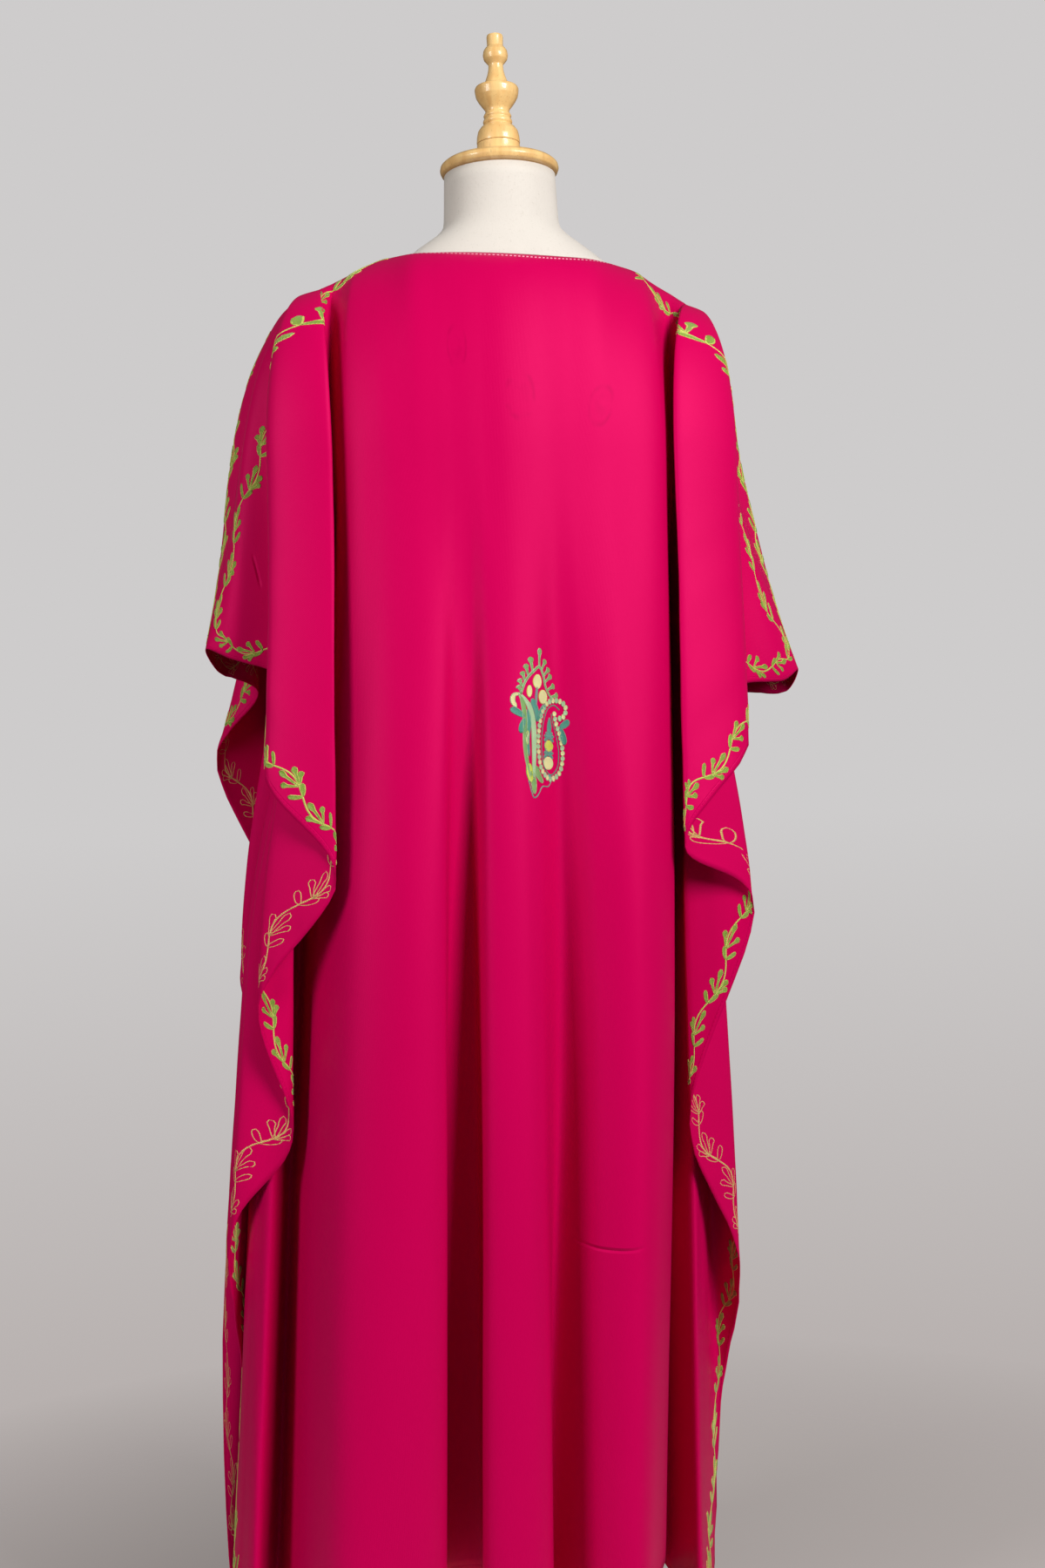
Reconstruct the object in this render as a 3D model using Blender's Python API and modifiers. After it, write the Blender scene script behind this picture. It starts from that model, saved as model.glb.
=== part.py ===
"""Kaftan on a dress form, seen from the back in the photograph.

The garment is two rectangular panels of soft cloth, front and back, joined along the
shoulders and down two side seams. The cloth outside the side seams hangs free as wings.
Each panel is a lofted sheet: a table gives its fold lines, each one straight on the flat
cloth from the shoulder seam to an edge, and where that line hangs at three heights.
The dress form is a lofted torso with a turned wooden cap, finial, pole and base.
Units are metres, +Z is up, the front of the garment faces -Y and its left side is +X.
"""
import math

import bmesh
import bpy
from mathutils import Vector

# Flat cut of the garment
HALF_WIDTH = 0.600
LENGTH = 1.350
NECK_HALF = 0.135
SHOULDER_U = 0.235
SEAM_TOP_U = 0.180
CLOTH = 0.0012
SEAM_GAP = 0.0012
SEAM_HALF = 0.0012
FRONT_NECK_DROP = 0.150
BACK_NECK_DROP = 0.006

# Heights at which every fold line is placed
CHEST_Z = 1.280
HIP_Z = 0.800
HEM_Z = 0.150
UNDERARM_Z = 1.110

# Grid of each panel
ROWS = 15
ROW_POWER = 1.20
FIRST_ROW = 0.010
WING_STEPS = 3
BODY_STEPS = 4

# Dress form and stand
GAP = 0.0004
BASE_RADIUS = 0.185
BASE_HEIGHT = 0.034
POLE_RADIUS = 0.0145
TORSO_BOTTOM_Z = 0.764
TORSO_SEGMENTS = 36
NECK_TOP_Z = 1.583
NECK_RADIUS = 0.058
CAP_RADIUS = 0.062
CAP_TOP_Z = 1.617
FINIAL_TOP_Z = 1.731

# Shoulder seam from the neck to the sleeve tip: u on the flat cloth, then x and z
SEAM_LEFT = (
    (0.135, 0.1265, 1.4925), (0.185, 0.1765, 1.4700), (0.235, 0.2200, 1.4440),
    (0.300, 0.2525, 1.3870), (0.375, 0.2725, 1.3130), (0.480, 0.2920, 1.2080),
    (0.600, 0.3190, 1.0980))
SEAM_RIGHT = (
    (0.135, -0.1405, 1.4820), (0.185, -0.1835, 1.4580), (0.235, -0.2150, 1.4290),
    (0.300, -0.2290, 1.3660), (0.375, -0.2340, 1.2920), (0.480, -0.2600, 1.1900),
    (0.600, -0.3040, 1.0620))

# Fold lines of the back panel, left wing tip to right wing tip. Columns: start u on the
# shoulder seam, end u and v on the flat edge, then x and y at chest, hip and hem height.
# A lip runs beside the seam: its columns are x, y off the seam halfway, x, y, z at the end.
BACK_FOLDS = (
    ("seam_left", 0.235, HALF_WIDTH, 0.000, 0.000, 0.000, 0.000, 0.000, 0.000, 0.000),
    ("left_lip", 0.231, HALF_WIDTH, 0.050, 0.003, 0.014, -0.022, 0.012, -0.010, 0.000),
    ("left_tuck", 0.222, HALF_WIDTH, 0.150, 0.242, 0.034, 0.238, 0.030, 0.238, 0.030),
    ("left_fold_out", 0.212, HALF_WIDTH, 0.365, 0.252, 0.070, 0.272, 0.104, 0.272, 0.104),
    ("left_fold_in", 0.203, HALF_WIDTH, 0.500, 0.192, 0.096, 0.203, 0.126, 0.203, 0.126),
    ("left_zig_1", 0.198, HALF_WIDTH, 0.640, 0.200, 0.071, 0.276, 0.080, 0.276, 0.080),
    ("left_zag_1", 0.195, HALF_WIDTH, 0.790, 0.198, 0.067, 0.244, 0.064, 0.256, 0.058),
    ("left_zig_2", 0.192, HALF_WIDTH, 0.895, 0.196, 0.063, 0.284, 0.047, 0.342, 0.036),
    ("left_zag_2", 0.189, HALF_WIDTH, 1.080, 0.1945, 0.0585, 0.272, 0.006, 0.322, 0.000),
    ("left_corner", 0.186, HALF_WIDTH, LENGTH, 0.190, 0.054, 0.262, 0.032, 0.320, 0.048),
    ("left_wing_hem", 0.183, 0.488, LENGTH, 0.188, 0.0485, 0.250, 0.042, 0.304, 0.076),
    ("side_seam_left", 0.180, 0.377, LENGTH, 0.185, 0.052, 0.234, 0.000, 0.280, 0.000),
    ("left_side", 0.160, 0.290, LENGTH, 0.176, 0.086, 0.216, 0.074, 0.256, 0.098),
    ("left_ridge_side", 0.135, 0.240, LENGTH, 0.146, 0.105, 0.186, 0.122, 0.224, 0.146),
    ("left_ridge", 0.106, 0.198, LENGTH, 0.112, 0.114, 0.136, 0.144, 0.174, 0.154),
    ("left_brink", 0.084, 0.158, LENGTH, 0.088, 0.117, 0.102, 0.136, 0.125, 0.141),
    ("gap_floor", 0.070, 0.084, LENGTH, 0.074, 0.1185, 0.092, 0.104, 0.118, 0.052),
    ("deep_valley", 0.055, 0.049, LENGTH, 0.059, 0.1205, 0.067, 0.098, 0.073, 0.042),
    ("middle_brink", 0.040, -0.034, LENGTH, 0.044, 0.122, 0.059, 0.137, 0.083, 0.143),
    ("middle_ridge", 0.020, -0.062, LENGTH, 0.022, 0.124, 0.027, 0.144, 0.051, 0.153),
    ("middle_lee", 0.000, -0.088, LENGTH, 0.000, 0.123, 0.006, 0.134, 0.020, 0.142),
    ("right_valley", -0.020, -0.152, LENGTH, -0.022, 0.120, -0.020, 0.104, 0.012, 0.060),
    ("right_rise", -0.042, -0.215, LENGTH, -0.044, 0.118, -0.052, 0.127, -0.030, 0.128),
    ("right_ridge", -0.078, -0.247, LENGTH, -0.082, 0.114, -0.092, 0.136, -0.066, 0.143),
    ("right_side", -0.135, -0.292, LENGTH, -0.139, 0.099, -0.134, 0.100, -0.101, 0.100),
    ("side_seam_right", -0.180, -0.377, LENGTH, -0.161, 0.052, -0.148, 0.000, -0.126, 0.000),
    ("right_wing_hem", -0.183, -0.488, LENGTH, -0.163, 0.0545, -0.164, 0.040, -0.145, 0.070),
    ("right_corner", -0.186, -HALF_WIDTH, LENGTH, -0.165, 0.058, -0.175, 0.032, -0.159, 0.044),
    ("right_zag_2", -0.189, -HALF_WIDTH, 1.120, -0.167, 0.0615, -0.186, 0.006, -0.192, 0.002),
    ("right_zig_2", -0.192, -HALF_WIDTH, 0.950, -0.169, 0.065, -0.198, 0.046, -0.208, 0.044),
    ("right_zag_1", -0.195, -HALF_WIDTH, 0.785, -0.171, 0.0685, -0.154, 0.066, -0.152, 0.070),
    ("right_zig_1", -0.198, -HALF_WIDTH, 0.520, -0.174, 0.072, -0.224, 0.082, -0.224, 0.082),
    ("right_fold_in", -0.203, -HALF_WIDTH, 0.475, -0.153, 0.099, -0.143, 0.122, -0.143, 0.122),
    ("right_fold_out", -0.213, -HALF_WIDTH, 0.310, -0.222, 0.076, -0.219, 0.106, -0.219, 0.106),
    ("right_tuck", -0.223, -HALF_WIDTH, 0.150, -0.224, 0.036, -0.236, 0.034, -0.236, 0.034),
    ("right_lip", -0.231, -HALF_WIDTH, 0.050, 0.000, 0.014, 0.020, 0.012, -0.012, 0.000),
    ("seam_right", -0.235, -HALF_WIDTH, 0.000, 0.000, 0.000, 0.000, 0.000, 0.000, 0.000),
)

# Fold lines of the front panel, in the same columns and the same order
FRONT_FOLDS = (
    ("seam_left", 0.235, HALF_WIDTH, 0.000, 0.000, 0.000, 0.000, 0.000, 0.000, 0.000),
    ("left_lip", 0.231, HALF_WIDTH, 0.060, 0.014, -0.020, -0.012, -0.018, -0.022, 0.000),
    ("left_tuck", 0.226, HALF_WIDTH, 0.200, 0.268, -0.050, 0.266, -0.050, 0.266, -0.050),
    ("left_fold_out", 0.221, HALF_WIDTH, 0.340, 0.252, -0.074, 0.352, -0.090, 0.352, -0.090),
    ("left_fold_in", 0.216, HALF_WIDTH, 0.540, 0.231, -0.092, 0.264, -0.114, 0.264, -0.114),
    ("left_zig_1", 0.212, HALF_WIDTH, 0.640, 0.218, -0.076, 0.292, -0.088, 0.292, -0.088),
    ("left_zag_1", 0.208, HALF_WIDTH, 0.757, 0.208, -0.069, 0.250, -0.070, 0.260, -0.068),
    ("left_zig_2", 0.205, HALF_WIDTH, 0.890, 0.201, -0.063, 0.286, -0.052, 0.340, -0.040),
    ("left_corner", 0.201, HALF_WIDTH, LENGTH, 0.195, -0.060, 0.262, -0.030, 0.316, -0.030),
    ("left_wing_hem", 0.198, 0.488, LENGTH, 0.190, -0.057, 0.250, -0.044, 0.304, -0.074),
    ("side_seam_left", 0.180, 0.377, LENGTH, 0.185, -0.052, 0.234, 0.000, 0.280, 0.000),
    ("left_side", 0.172, 0.318, LENGTH, 0.176, -0.088, 0.216, -0.072, 0.254, -0.096),
    ("left_ridge", 0.135, 0.225, LENGTH, 0.142, -0.124, 0.176, -0.140, 0.206, -0.156),
    ("left_valley", 0.082, 0.112, LENGTH, 0.092, -0.144, 0.108, -0.128, 0.134, -0.086),
    ("middle_ridge", 0.036, 0.004, LENGTH, 0.040, -0.152, 0.046, -0.160, 0.066, -0.166),
    ("right_valley", -0.012, -0.096, LENGTH, -0.012, -0.152, -0.012, -0.138, 0.008, -0.090),
    ("right_ridge", -0.068, -0.192, LENGTH, -0.072, -0.146, -0.070, -0.154, -0.050, -0.160),
    ("right_side", -0.135, -0.292, LENGTH, -0.136, -0.114, -0.130, -0.104, -0.101, -0.102),
    ("side_seam_right", -0.180, -0.377, LENGTH, -0.161, -0.052, -0.148, 0.000, -0.126, 0.000),
    ("right_wing_hem", -0.198, -0.488, LENGTH, -0.166, -0.060, -0.164, -0.044, -0.147, -0.072),
    ("right_corner", -0.201, -HALF_WIDTH, LENGTH, -0.171, -0.063, -0.176, -0.032, -0.166, -0.034),
    ("right_zig_2", -0.205, -HALF_WIDTH, 0.860, -0.178, -0.067, -0.202, -0.056, -0.206, -0.050),
    ("right_zag_1", -0.209, -HALF_WIDTH, 0.700, -0.187, -0.068, -0.180, -0.068, -0.180, -0.070),
    ("right_zig_1", -0.214, -HALF_WIDTH, 0.560, -0.198, -0.072, -0.214, -0.082, -0.214, -0.082),
    ("right_fold_in", -0.219, -HALF_WIDTH, 0.400, -0.216, -0.094, -0.180, -0.122, -0.180, -0.122),
    ("right_tuck", -0.226, -HALF_WIDTH, 0.210, -0.250, -0.062, -0.244, -0.070, -0.244, -0.070),
    ("right_lip", -0.231, -HALF_WIDTH, 0.060, -0.024, -0.024, 0.008, -0.018, -0.022, 0.000),
    ("seam_right", -0.235, -HALF_WIDTH, 0.000, 0.000, 0.000, 0.000, 0.000, 0.000, 0.000),
)

# Sections of the torso: height, half width, half depth, centre in y
TORSO_SECTIONS = (
    (TORSO_BOTTOM_Z, 0.092, 0.066, -0.004), (0.7720, 0.120, 0.088, -0.004),
    (0.7950, 0.132, 0.098, -0.004), (0.8700, 0.138, 0.102, -0.006),
    (0.9600, 0.134, 0.096, -0.006), (1.0600, 0.118, 0.082, -0.006),
    (1.1400, 0.128, 0.092, -0.010), (1.2200, 0.142, 0.110, -0.014),
    (1.3000, 0.148, 0.103, -0.008), (1.3700, 0.164, 0.090, 0.000),
    (1.4100, 0.179, 0.077, 0.002), (1.4280, 0.178, 0.070, 0.002),
    (1.4420, 0.169, 0.067, 0.002), (1.4560, 0.153, 0.065, 0.002),
    (1.4700, 0.134, 0.065, 0.003), (1.4850, 0.1155, 0.0660, 0.003),
    (1.5040, 0.090, 0.061, 0.002), (1.5240, 0.0640, 0.058, 0.000),
    (1.5440, 0.0595, 0.056, 0.000), (NECK_TOP_Z, NECK_RADIUS, 0.056, 0.000))

# Turned outlines, outer side from top to bottom: radius, height
CAP_PROFILE = (
    (0.0000, CAP_TOP_Z), (0.0222, CAP_TOP_Z - 0.0002), (0.0226, 1.6120), (0.0232, 1.6060),
    (0.0250, 1.6015), (0.0300, 1.5995), (0.0450, 1.5985), (0.0575, 1.5965),
    (0.0612, 1.5935), (CAP_RADIUS, 1.5900), (0.0605, 1.5862), (0.0570, 1.5840),
    (0.0000, NECK_TOP_Z + GAP))
FINIAL_PROFILE = (
    (0.0000, FINIAL_TOP_Z), (0.0080, FINIAL_TOP_Z - 0.0002), (0.0086, 1.7290),
    (0.0083, 1.7190), (0.0100, 1.7178), (0.0123, 1.7144), (0.0131, 1.7099),
    (0.0122, 1.7054), (0.0092, 1.7018), (0.0076, 1.7000), (0.0079, 1.6949),
    (0.0093, 1.6889), (0.0110, 1.6843), (0.0126, 1.6798), (0.0155, 1.6782),
    (0.0218, 1.6764), (0.0230, 1.6738), (0.0226, 1.6702), (0.0218, 1.6663),
    (0.0194, 1.6618), (0.0161, 1.6573), (0.0131, 1.6534), (0.0121, 1.6503),
    (0.0136, 1.6484), (0.0147, 1.6461), (0.0132, 1.6440), (0.0149, 1.6419),
    (0.0154, 1.6395), (0.0134, 1.6371), (0.0176, 1.6345), (0.0208, 1.6302),
    (0.0221, 1.6241), (0.0226, CAP_TOP_Z + GAP + 0.0010), (0.0222, CAP_TOP_Z + GAP),
    (0.0000, CAP_TOP_Z + GAP))
POLE_PROFILE = (
    (0.0000, TORSO_BOTTOM_Z - GAP), (POLE_RADIUS, TORSO_BOTTOM_Z - GAP),
    (POLE_RADIUS, 0.0500), (0.0180, 0.0460), (0.0200, 0.0400),
    (0.0200, BASE_HEIGHT + GAP), (0.0000, BASE_HEIGHT + GAP))
BASE_PROFILE = (
    (0.0000, BASE_HEIGHT), (0.0300, BASE_HEIGHT), (0.0420, 0.0330), (0.0520, 0.0300),
    (0.1000, 0.0270), (0.1550, 0.0250), (0.1750, 0.0235), (0.1830, 0.0200),
    (BASE_RADIUS, 0.0150), (BASE_RADIUS, 0.0050), (0.1820, 0.0000), (0.0000, 0.0000))


def clear_scene():
    """Removes whatever a new Blender file starts with."""
    for item in list(bpy.data.objects):
        bpy.data.objects.remove(item, do_unlink=True)


def make_collection(name):
    group = bpy.data.collections.new(name)
    bpy.context.scene.collection.children.link(group)
    return group


def make_material(name, colour, roughness):
    """Principled material of one colour."""
    mat = bpy.data.materials.new(name)
    mat.use_nodes = True
    shader = mat.node_tree.nodes["Principled BSDF"]
    shader.inputs["Base Color"].default_value = (colour[0], colour[1], colour[2], 1.0)
    shader.inputs["Roughness"].default_value = roughness
    return mat


def add_object(name, mesh, group, mat, smooth):
    mesh.materials.append(mat)
    for face in mesh.polygons:
        face.use_smooth = smooth
    item = bpy.data.objects.new(name, mesh)
    group.objects.link(item)
    return item


def through(a, b, c, d, t):
    """Point of the smooth curve a, b, c, d between b and c, tight where they are close."""
    ab = max(math.sqrt((b - a).length), 0.0001)
    bc = max(math.sqrt((c - b).length), 0.0001)
    cd = max(math.sqrt((d - c).length), 0.0001)
    slope_b = (b - a) / ab - (c - a) / (ab + bc) + (c - b) / bc
    slope_c = (c - b) / bc - (d - b) / (bc + cd) + (d - c) / cd
    u = 1.0 - t
    return (b * ((1.0 + 2.0 * t) * u * u) + c * (t * t * (3.0 - 2.0 * t))
            + slope_b * (bc * t * u * u) - slope_c * (bc * t * t * u))


def catmull(a, b, c, d, t):
    """Smooth value between b and c."""
    return 0.5 * (2.0 * b + (c - a) * t + (2.0 * a - 5.0 * b + 4.0 * c - d) * t * t
                  + (3.0 * b - a - 3.0 * c + d) * t * t * t)


def hermite(a, b, slope_a, slope_b, t):
    """Value from a to b with the given slopes at the two ends."""
    u = 1.0 - t
    return (a * (1.0 + 2.0 * t) * u * u + b * t * t * (3.0 - 2.0 * t)
            + slope_a * t * u * u - slope_b * t * t * u)


def seam_point(u):
    """Point of the shoulder seam for a place on the flat cloth."""
    table = SEAM_LEFT if u >= 0.0 else SEAM_RIGHT
    place = min(max(abs(u), table[0][0]), table[-1][0])
    index = 0
    while index < len(table) - 2 and place > table[index + 1][0]:
        index += 1
    low, high = table[index], table[index + 1]
    before = table[max(index - 1, 0)]
    after = table[min(index + 2, len(table) - 1)]
    t = (place - low[0]) / (high[0] - low[0])
    return Vector((catmull(before[1], low[1], high[1], after[1], t), 0.0,
                   catmull(before[2], low[2], high[2], after[2], t)))


def neck_point(u, side):
    """Point of the neck opening between the two shoulder seams, carried up to the neck."""
    left = seam_point(NECK_HALF)
    right = seam_point(-NECK_HALF)
    share = (u / NECK_HALF + 1.0) / 2.0
    point = right.lerp(left, share)
    rise = max(0.0, 1.0 - (u / NECK_HALF) ** 2)
    depth = 0.0745 if side > 0 else 0.0700
    point.y = side * depth * rise ** 0.62
    point.z -= 0.006 * rise
    return point


def start_point(u, side):
    if abs(u) < NECK_HALF:
        return neck_point(u, side)
    return seam_point(u)


def neck_drop(u, side):
    """How far below the shoulder line the neckline is cut."""
    if abs(u) >= NECK_HALF:
        return 0.0
    share = abs(u) / NECK_HALF
    if side > 0:
        return BACK_NECK_DROP * (1.0 - share * share)
    return FRONT_NECK_DROP * (1.0 - share ** 1.6)


def fold_path(fold, side):
    """Points down one fold line, from the shoulder over the chest to below the hem."""
    start = start_point(fold[1], side)
    chest = fold[4:6]
    hip = fold[6:8]
    hem = fold[8:10]
    points = []
    for step in range(13):
        turn = math.radians(90.0 * step / 12.0)
        points.append(Vector((
            start.x + (chest[0] - start.x) * math.sin(turn),
            start.y + (chest[1] - start.y) * math.sin(turn),
            CHEST_Z + (start.z - CHEST_Z) * math.cos(turn))))
    upper = CHEST_Z - HIP_Z
    lower = HIP_Z - HEM_Z
    middle = [(hem[i] - chest[i]) / (upper + lower) for i in range(2)]
    last = [(hem[i] - hip[i]) / lower for i in range(2)]
    for step in range(1, 25):
        t = step / 24.0
        place = [hermite(chest[i], hip[i], 0.0, middle[i] * upper, t) for i in range(2)]
        points.append(Vector((place[0], place[1], CHEST_Z - upper * t)))
    for step in range(1, 31):
        t = step / 24.0
        if t <= 1.0:
            place = [hermite(hip[i], hem[i], middle[i] * lower, last[i] * lower, t)
                     for i in range(2)]
        else:
            place = [hem[i] + last[i] * lower * (t - 1.0) for i in range(2)]
        points.append(Vector((place[0], place[1], HIP_Z - lower * t)))
    if fold[0].startswith("side_seam"):
        for point in points:
            if point.z < CHEST_Z:
                rise = max(0.0, (point.z - UNDERARM_Z) / (CHEST_Z - UNDERARM_Z))
                rise = rise * rise * (3.0 - 2.0 * rise)
                point.y = side * SEAM_HALF + (chest[1] - side * SEAM_HALF) * rise
    return points


def along(points, distance):
    """The point at a distance along a chain of points."""
    for a, b in zip(points, points[1:]):
        length = (b - a).length
        if distance <= length:
            return a.lerp(b, distance / length)
        distance -= length
    return points[-1].copy()


def row_share(row):
    """Share of a fold line's length at a row, closer together near the shoulder."""
    if row < 2:
        return FIRST_ROW * row
    return FIRST_ROW + (1.0 - FIRST_ROW) * ((row - 1) / (ROWS - 2)) ** ROW_POWER


def seam_column(sign, side):
    """The rows of the wing's own top edge, which is the shoulder seam past the bend."""
    rows = []
    for row in range(ROWS):
        u = SHOULDER_U + (HALF_WIDTH - SHOULDER_U) * row_share(row)
        rows.append(seam_point(sign * u) + Vector((0.0, side * SEAM_GAP / 2.0, 0.0)))
    return rows


def lip_column(fold, side):
    """The rows of the line just inside the wing's top edge."""
    rows = seam_column(1.0 if fold[1] > 0.0 else -1.0, side)
    middle = Vector((fold[4], fold[5], 0.0))
    end = Vector(fold[6:9])
    begin = seam_point(fold[1]) + Vector((0.0, side * SEAM_GAP / 2.0, 0.0)) - rows[0]
    for row in range(ROWS):
        share = row_share(row)
        rows[row] += begin * (1.0 - share) ** 3
        rows[row] += middle * (4.0 * share * (1.0 - share)) ** 0.7
        rows[row] += end * (share * share)
    return rows


def fold_points(fold, side):
    """The rows of one fold line, evenly placed by length from the seam to the edge."""
    if fold[0].startswith("seam"):
        return seam_column(1.0 if fold[1] > 0.0 else -1.0, side)
    if fold[0].endswith("lip"):
        return lip_column(fold, side)
    drop = neck_drop(fold[1], side)
    start = (fold[1], 0.0)
    length = math.hypot(fold[2] - start[0], fold[3] - start[1])
    path = fold_path(fold, side)
    rows = []
    for row in range(ROWS):
        reach = drop + (length - drop) * row_share(row)
        point = along(path, reach)
        if row == 0 and abs(fold[1]) >= NECK_HALF:
            point.y += side * SEAM_GAP / 2.0
        rows.append(point)
    return rows


def panel_grid(folds, other_folds, side):
    """Columns of points for a whole panel, smooth between the fold lines."""
    lines = [fold_points(fold, side) for fold in folds]
    before = fold_points(other_folds[1], -side)
    after = fold_points(other_folds[-2], -side)
    chain = [before] + lines + [after]
    columns = [lines[0]]
    for index in range(len(lines) - 1):
        a, b, c, d = chain[index:index + 4]
        in_body = max(abs(folds[index][1]), abs(folds[index + 1][1])) <= SEAM_TOP_U
        steps = BODY_STEPS if in_body else WING_STEPS
        on_shoulder = min(abs(folds[index][1]), abs(folds[index + 1][1])) >= NECK_HALF
        for step in range(1, steps):
            t = step / steps
            column = []
            for row in range(ROWS):
                point = through(a[row], b[row], c[row], d[row], t)
                if on_shoulder and row < 4:
                    point = b[row].lerp(c[row], t).lerp(point, row / 4.0)
                column.append(point)
            columns.append(column)
        columns.append(c)
    return columns


def build_panel(name, folds, other_folds, side, group, mat):
    """A draped panel as an open sheet given its thickness by Solidify."""
    columns = panel_grid(folds, other_folds, side)
    mesh = bpy.data.meshes.new(name)
    work = bmesh.new()
    verts = [[work.verts.new(point) for point in column] for column in columns]
    for left, right in zip(verts, verts[1:]):
        for row in range(ROWS - 1):
            corner = (left[row], left[row + 1], right[row + 1], right[row])
            work.faces.new(corner if side > 0 else corner[::-1])
    bmesh.ops.recalc_face_normals(work, faces=work.faces)
    bmesh.ops.triangulate(work, faces=work.faces, quad_method="SHORT_EDGE")
    work.to_mesh(mesh)
    work.free()
    item = add_object(name, mesh, group, mat, True)
    wall = item.modifiers.new("cloth thickness", "SOLIDIFY")
    wall.thickness = CLOTH
    wall.offset = 0.0
    wall.use_quality_normals = True
    return item


def build_torso(group, mat):
    """The limbless torso as a closed loft through its sections."""
    mesh = bpy.data.meshes.new("form_torso")
    work = bmesh.new()
    rings = []
    for height, half_x, half_y, centre in TORSO_SECTIONS:
        ring = []
        for step in range(TORSO_SEGMENTS):
            turn = 2.0 * math.pi * step / TORSO_SEGMENTS
            ring.append(work.verts.new((
                half_x * math.cos(turn), centre + half_y * math.sin(turn), height)))
        rings.append(ring)
    for low, high in zip(rings, rings[1:]):
        for step in range(TORSO_SEGMENTS):
            after = (step + 1) % TORSO_SEGMENTS
            work.faces.new((low[step], low[after], high[after], high[step]))
    work.faces.new(list(reversed(rings[0])))
    work.faces.new(rings[-1])
    work.to_mesh(mesh)
    work.free()
    return add_object("form_torso", mesh, group, mat, True)


def build_turned(name, profile, steps, group, mat):
    """A solid turned about the upright axis from its outer profile."""
    mesh = bpy.data.meshes.new(name)
    work = bmesh.new()
    verts = [work.verts.new((radius, 0.0, height)) for radius, height in profile]
    for a, b in zip(verts, verts[1:]):
        work.edges.new((a, b))
    work.to_mesh(mesh)
    work.free()
    item = add_object(name, mesh, group, mat, True)
    turn = item.modifiers.new("turning", "SCREW")
    turn.axis = "Z"
    turn.angle = 2.0 * math.pi
    turn.steps = steps
    turn.render_steps = steps
    turn.use_merge_vertices = True
    turn.merge_threshold = 0.00005
    return item


def main():
    clear_scene()
    parts = make_collection("kaftan on dress form")
    cloth = make_material("magenta cloth", (0.62, 0.004, 0.10), 0.45)
    linen = make_material("cream linen", (0.80, 0.76, 0.68), 0.85)
    wood = make_material("honey wood", (0.66, 0.38, 0.14), 0.40)
    build_panel("back_panel", BACK_FOLDS, FRONT_FOLDS, 1, parts, cloth)
    build_panel("front_panel", FRONT_FOLDS, BACK_FOLDS, -1, parts, cloth)
    build_torso(parts, linen)
    build_turned("neck_cap", CAP_PROFILE, 28, parts, wood)
    build_turned("finial", FINIAL_PROFILE, 16, parts, wood)
    build_turned("pole", POLE_PROFILE, 16, parts, wood)
    build_turned("base", BASE_PROFILE, 32, parts, wood)


main()
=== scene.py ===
"""Looks of a magenta kaftan on a limbless dress form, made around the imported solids.

The cloth hangs on the same fold lines as the solids, on a finer grid. Every point of a
panel is known twice, on the flat cut and in its place, so the embroidery is drawn on the
flat cloth and then laid on the folds. Units are metres, the back of the garment faces +Y
and its left side is +X.
"""
import logging
import math
import random
from bisect import bisect_right
from dataclasses import dataclass, field
from enum import Enum
from typing import Iterable, Sequence

import bmesh
import bpy
from mathutils import Matrix, Vector, noise
from mathutils.bvhtree import BVHTree
from mathutils.geometry import barycentric_transform

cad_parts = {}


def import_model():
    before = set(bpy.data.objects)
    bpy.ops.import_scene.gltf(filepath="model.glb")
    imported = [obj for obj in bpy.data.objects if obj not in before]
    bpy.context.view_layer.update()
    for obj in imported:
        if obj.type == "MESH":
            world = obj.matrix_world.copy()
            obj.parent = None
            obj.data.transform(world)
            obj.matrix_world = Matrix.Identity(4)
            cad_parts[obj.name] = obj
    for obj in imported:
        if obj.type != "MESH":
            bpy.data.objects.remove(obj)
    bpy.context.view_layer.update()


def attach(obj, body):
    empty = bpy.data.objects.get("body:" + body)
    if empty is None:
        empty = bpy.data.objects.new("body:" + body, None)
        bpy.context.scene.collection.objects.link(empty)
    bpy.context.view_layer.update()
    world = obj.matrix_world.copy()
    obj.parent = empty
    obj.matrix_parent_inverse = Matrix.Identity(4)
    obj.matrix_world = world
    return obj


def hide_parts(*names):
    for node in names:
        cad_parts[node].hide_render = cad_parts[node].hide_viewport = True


log = logging.getLogger("kaftan")
Colour = tuple[float, float, float]

# Half the width of a flat panel, its length, and where its side seam meets the hem
WIDE = 0.600
LONG = 1.350
SEAM_HEM_U = 0.377
FULL_TURN = 2.0 * math.pi


def paint(red: int, green: int, blue: int) -> Colour:
    """The linear colour of a paint given as screen values from 0 to 255."""
    return tuple(((c / 255 + 0.055) / 1.055) ** 2.4 if c > 10 else c / 3294.6
                 for c in (red, green, blue))


def smooth_step(value: float, low: float, high: float) -> float:
    """Rises smoothly from 0 at low to 1 at high."""
    share = min(max((value - low) / (high - low), 0.0), 1.0)
    return share * share * (3.0 - 2.0 * share)


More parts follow.
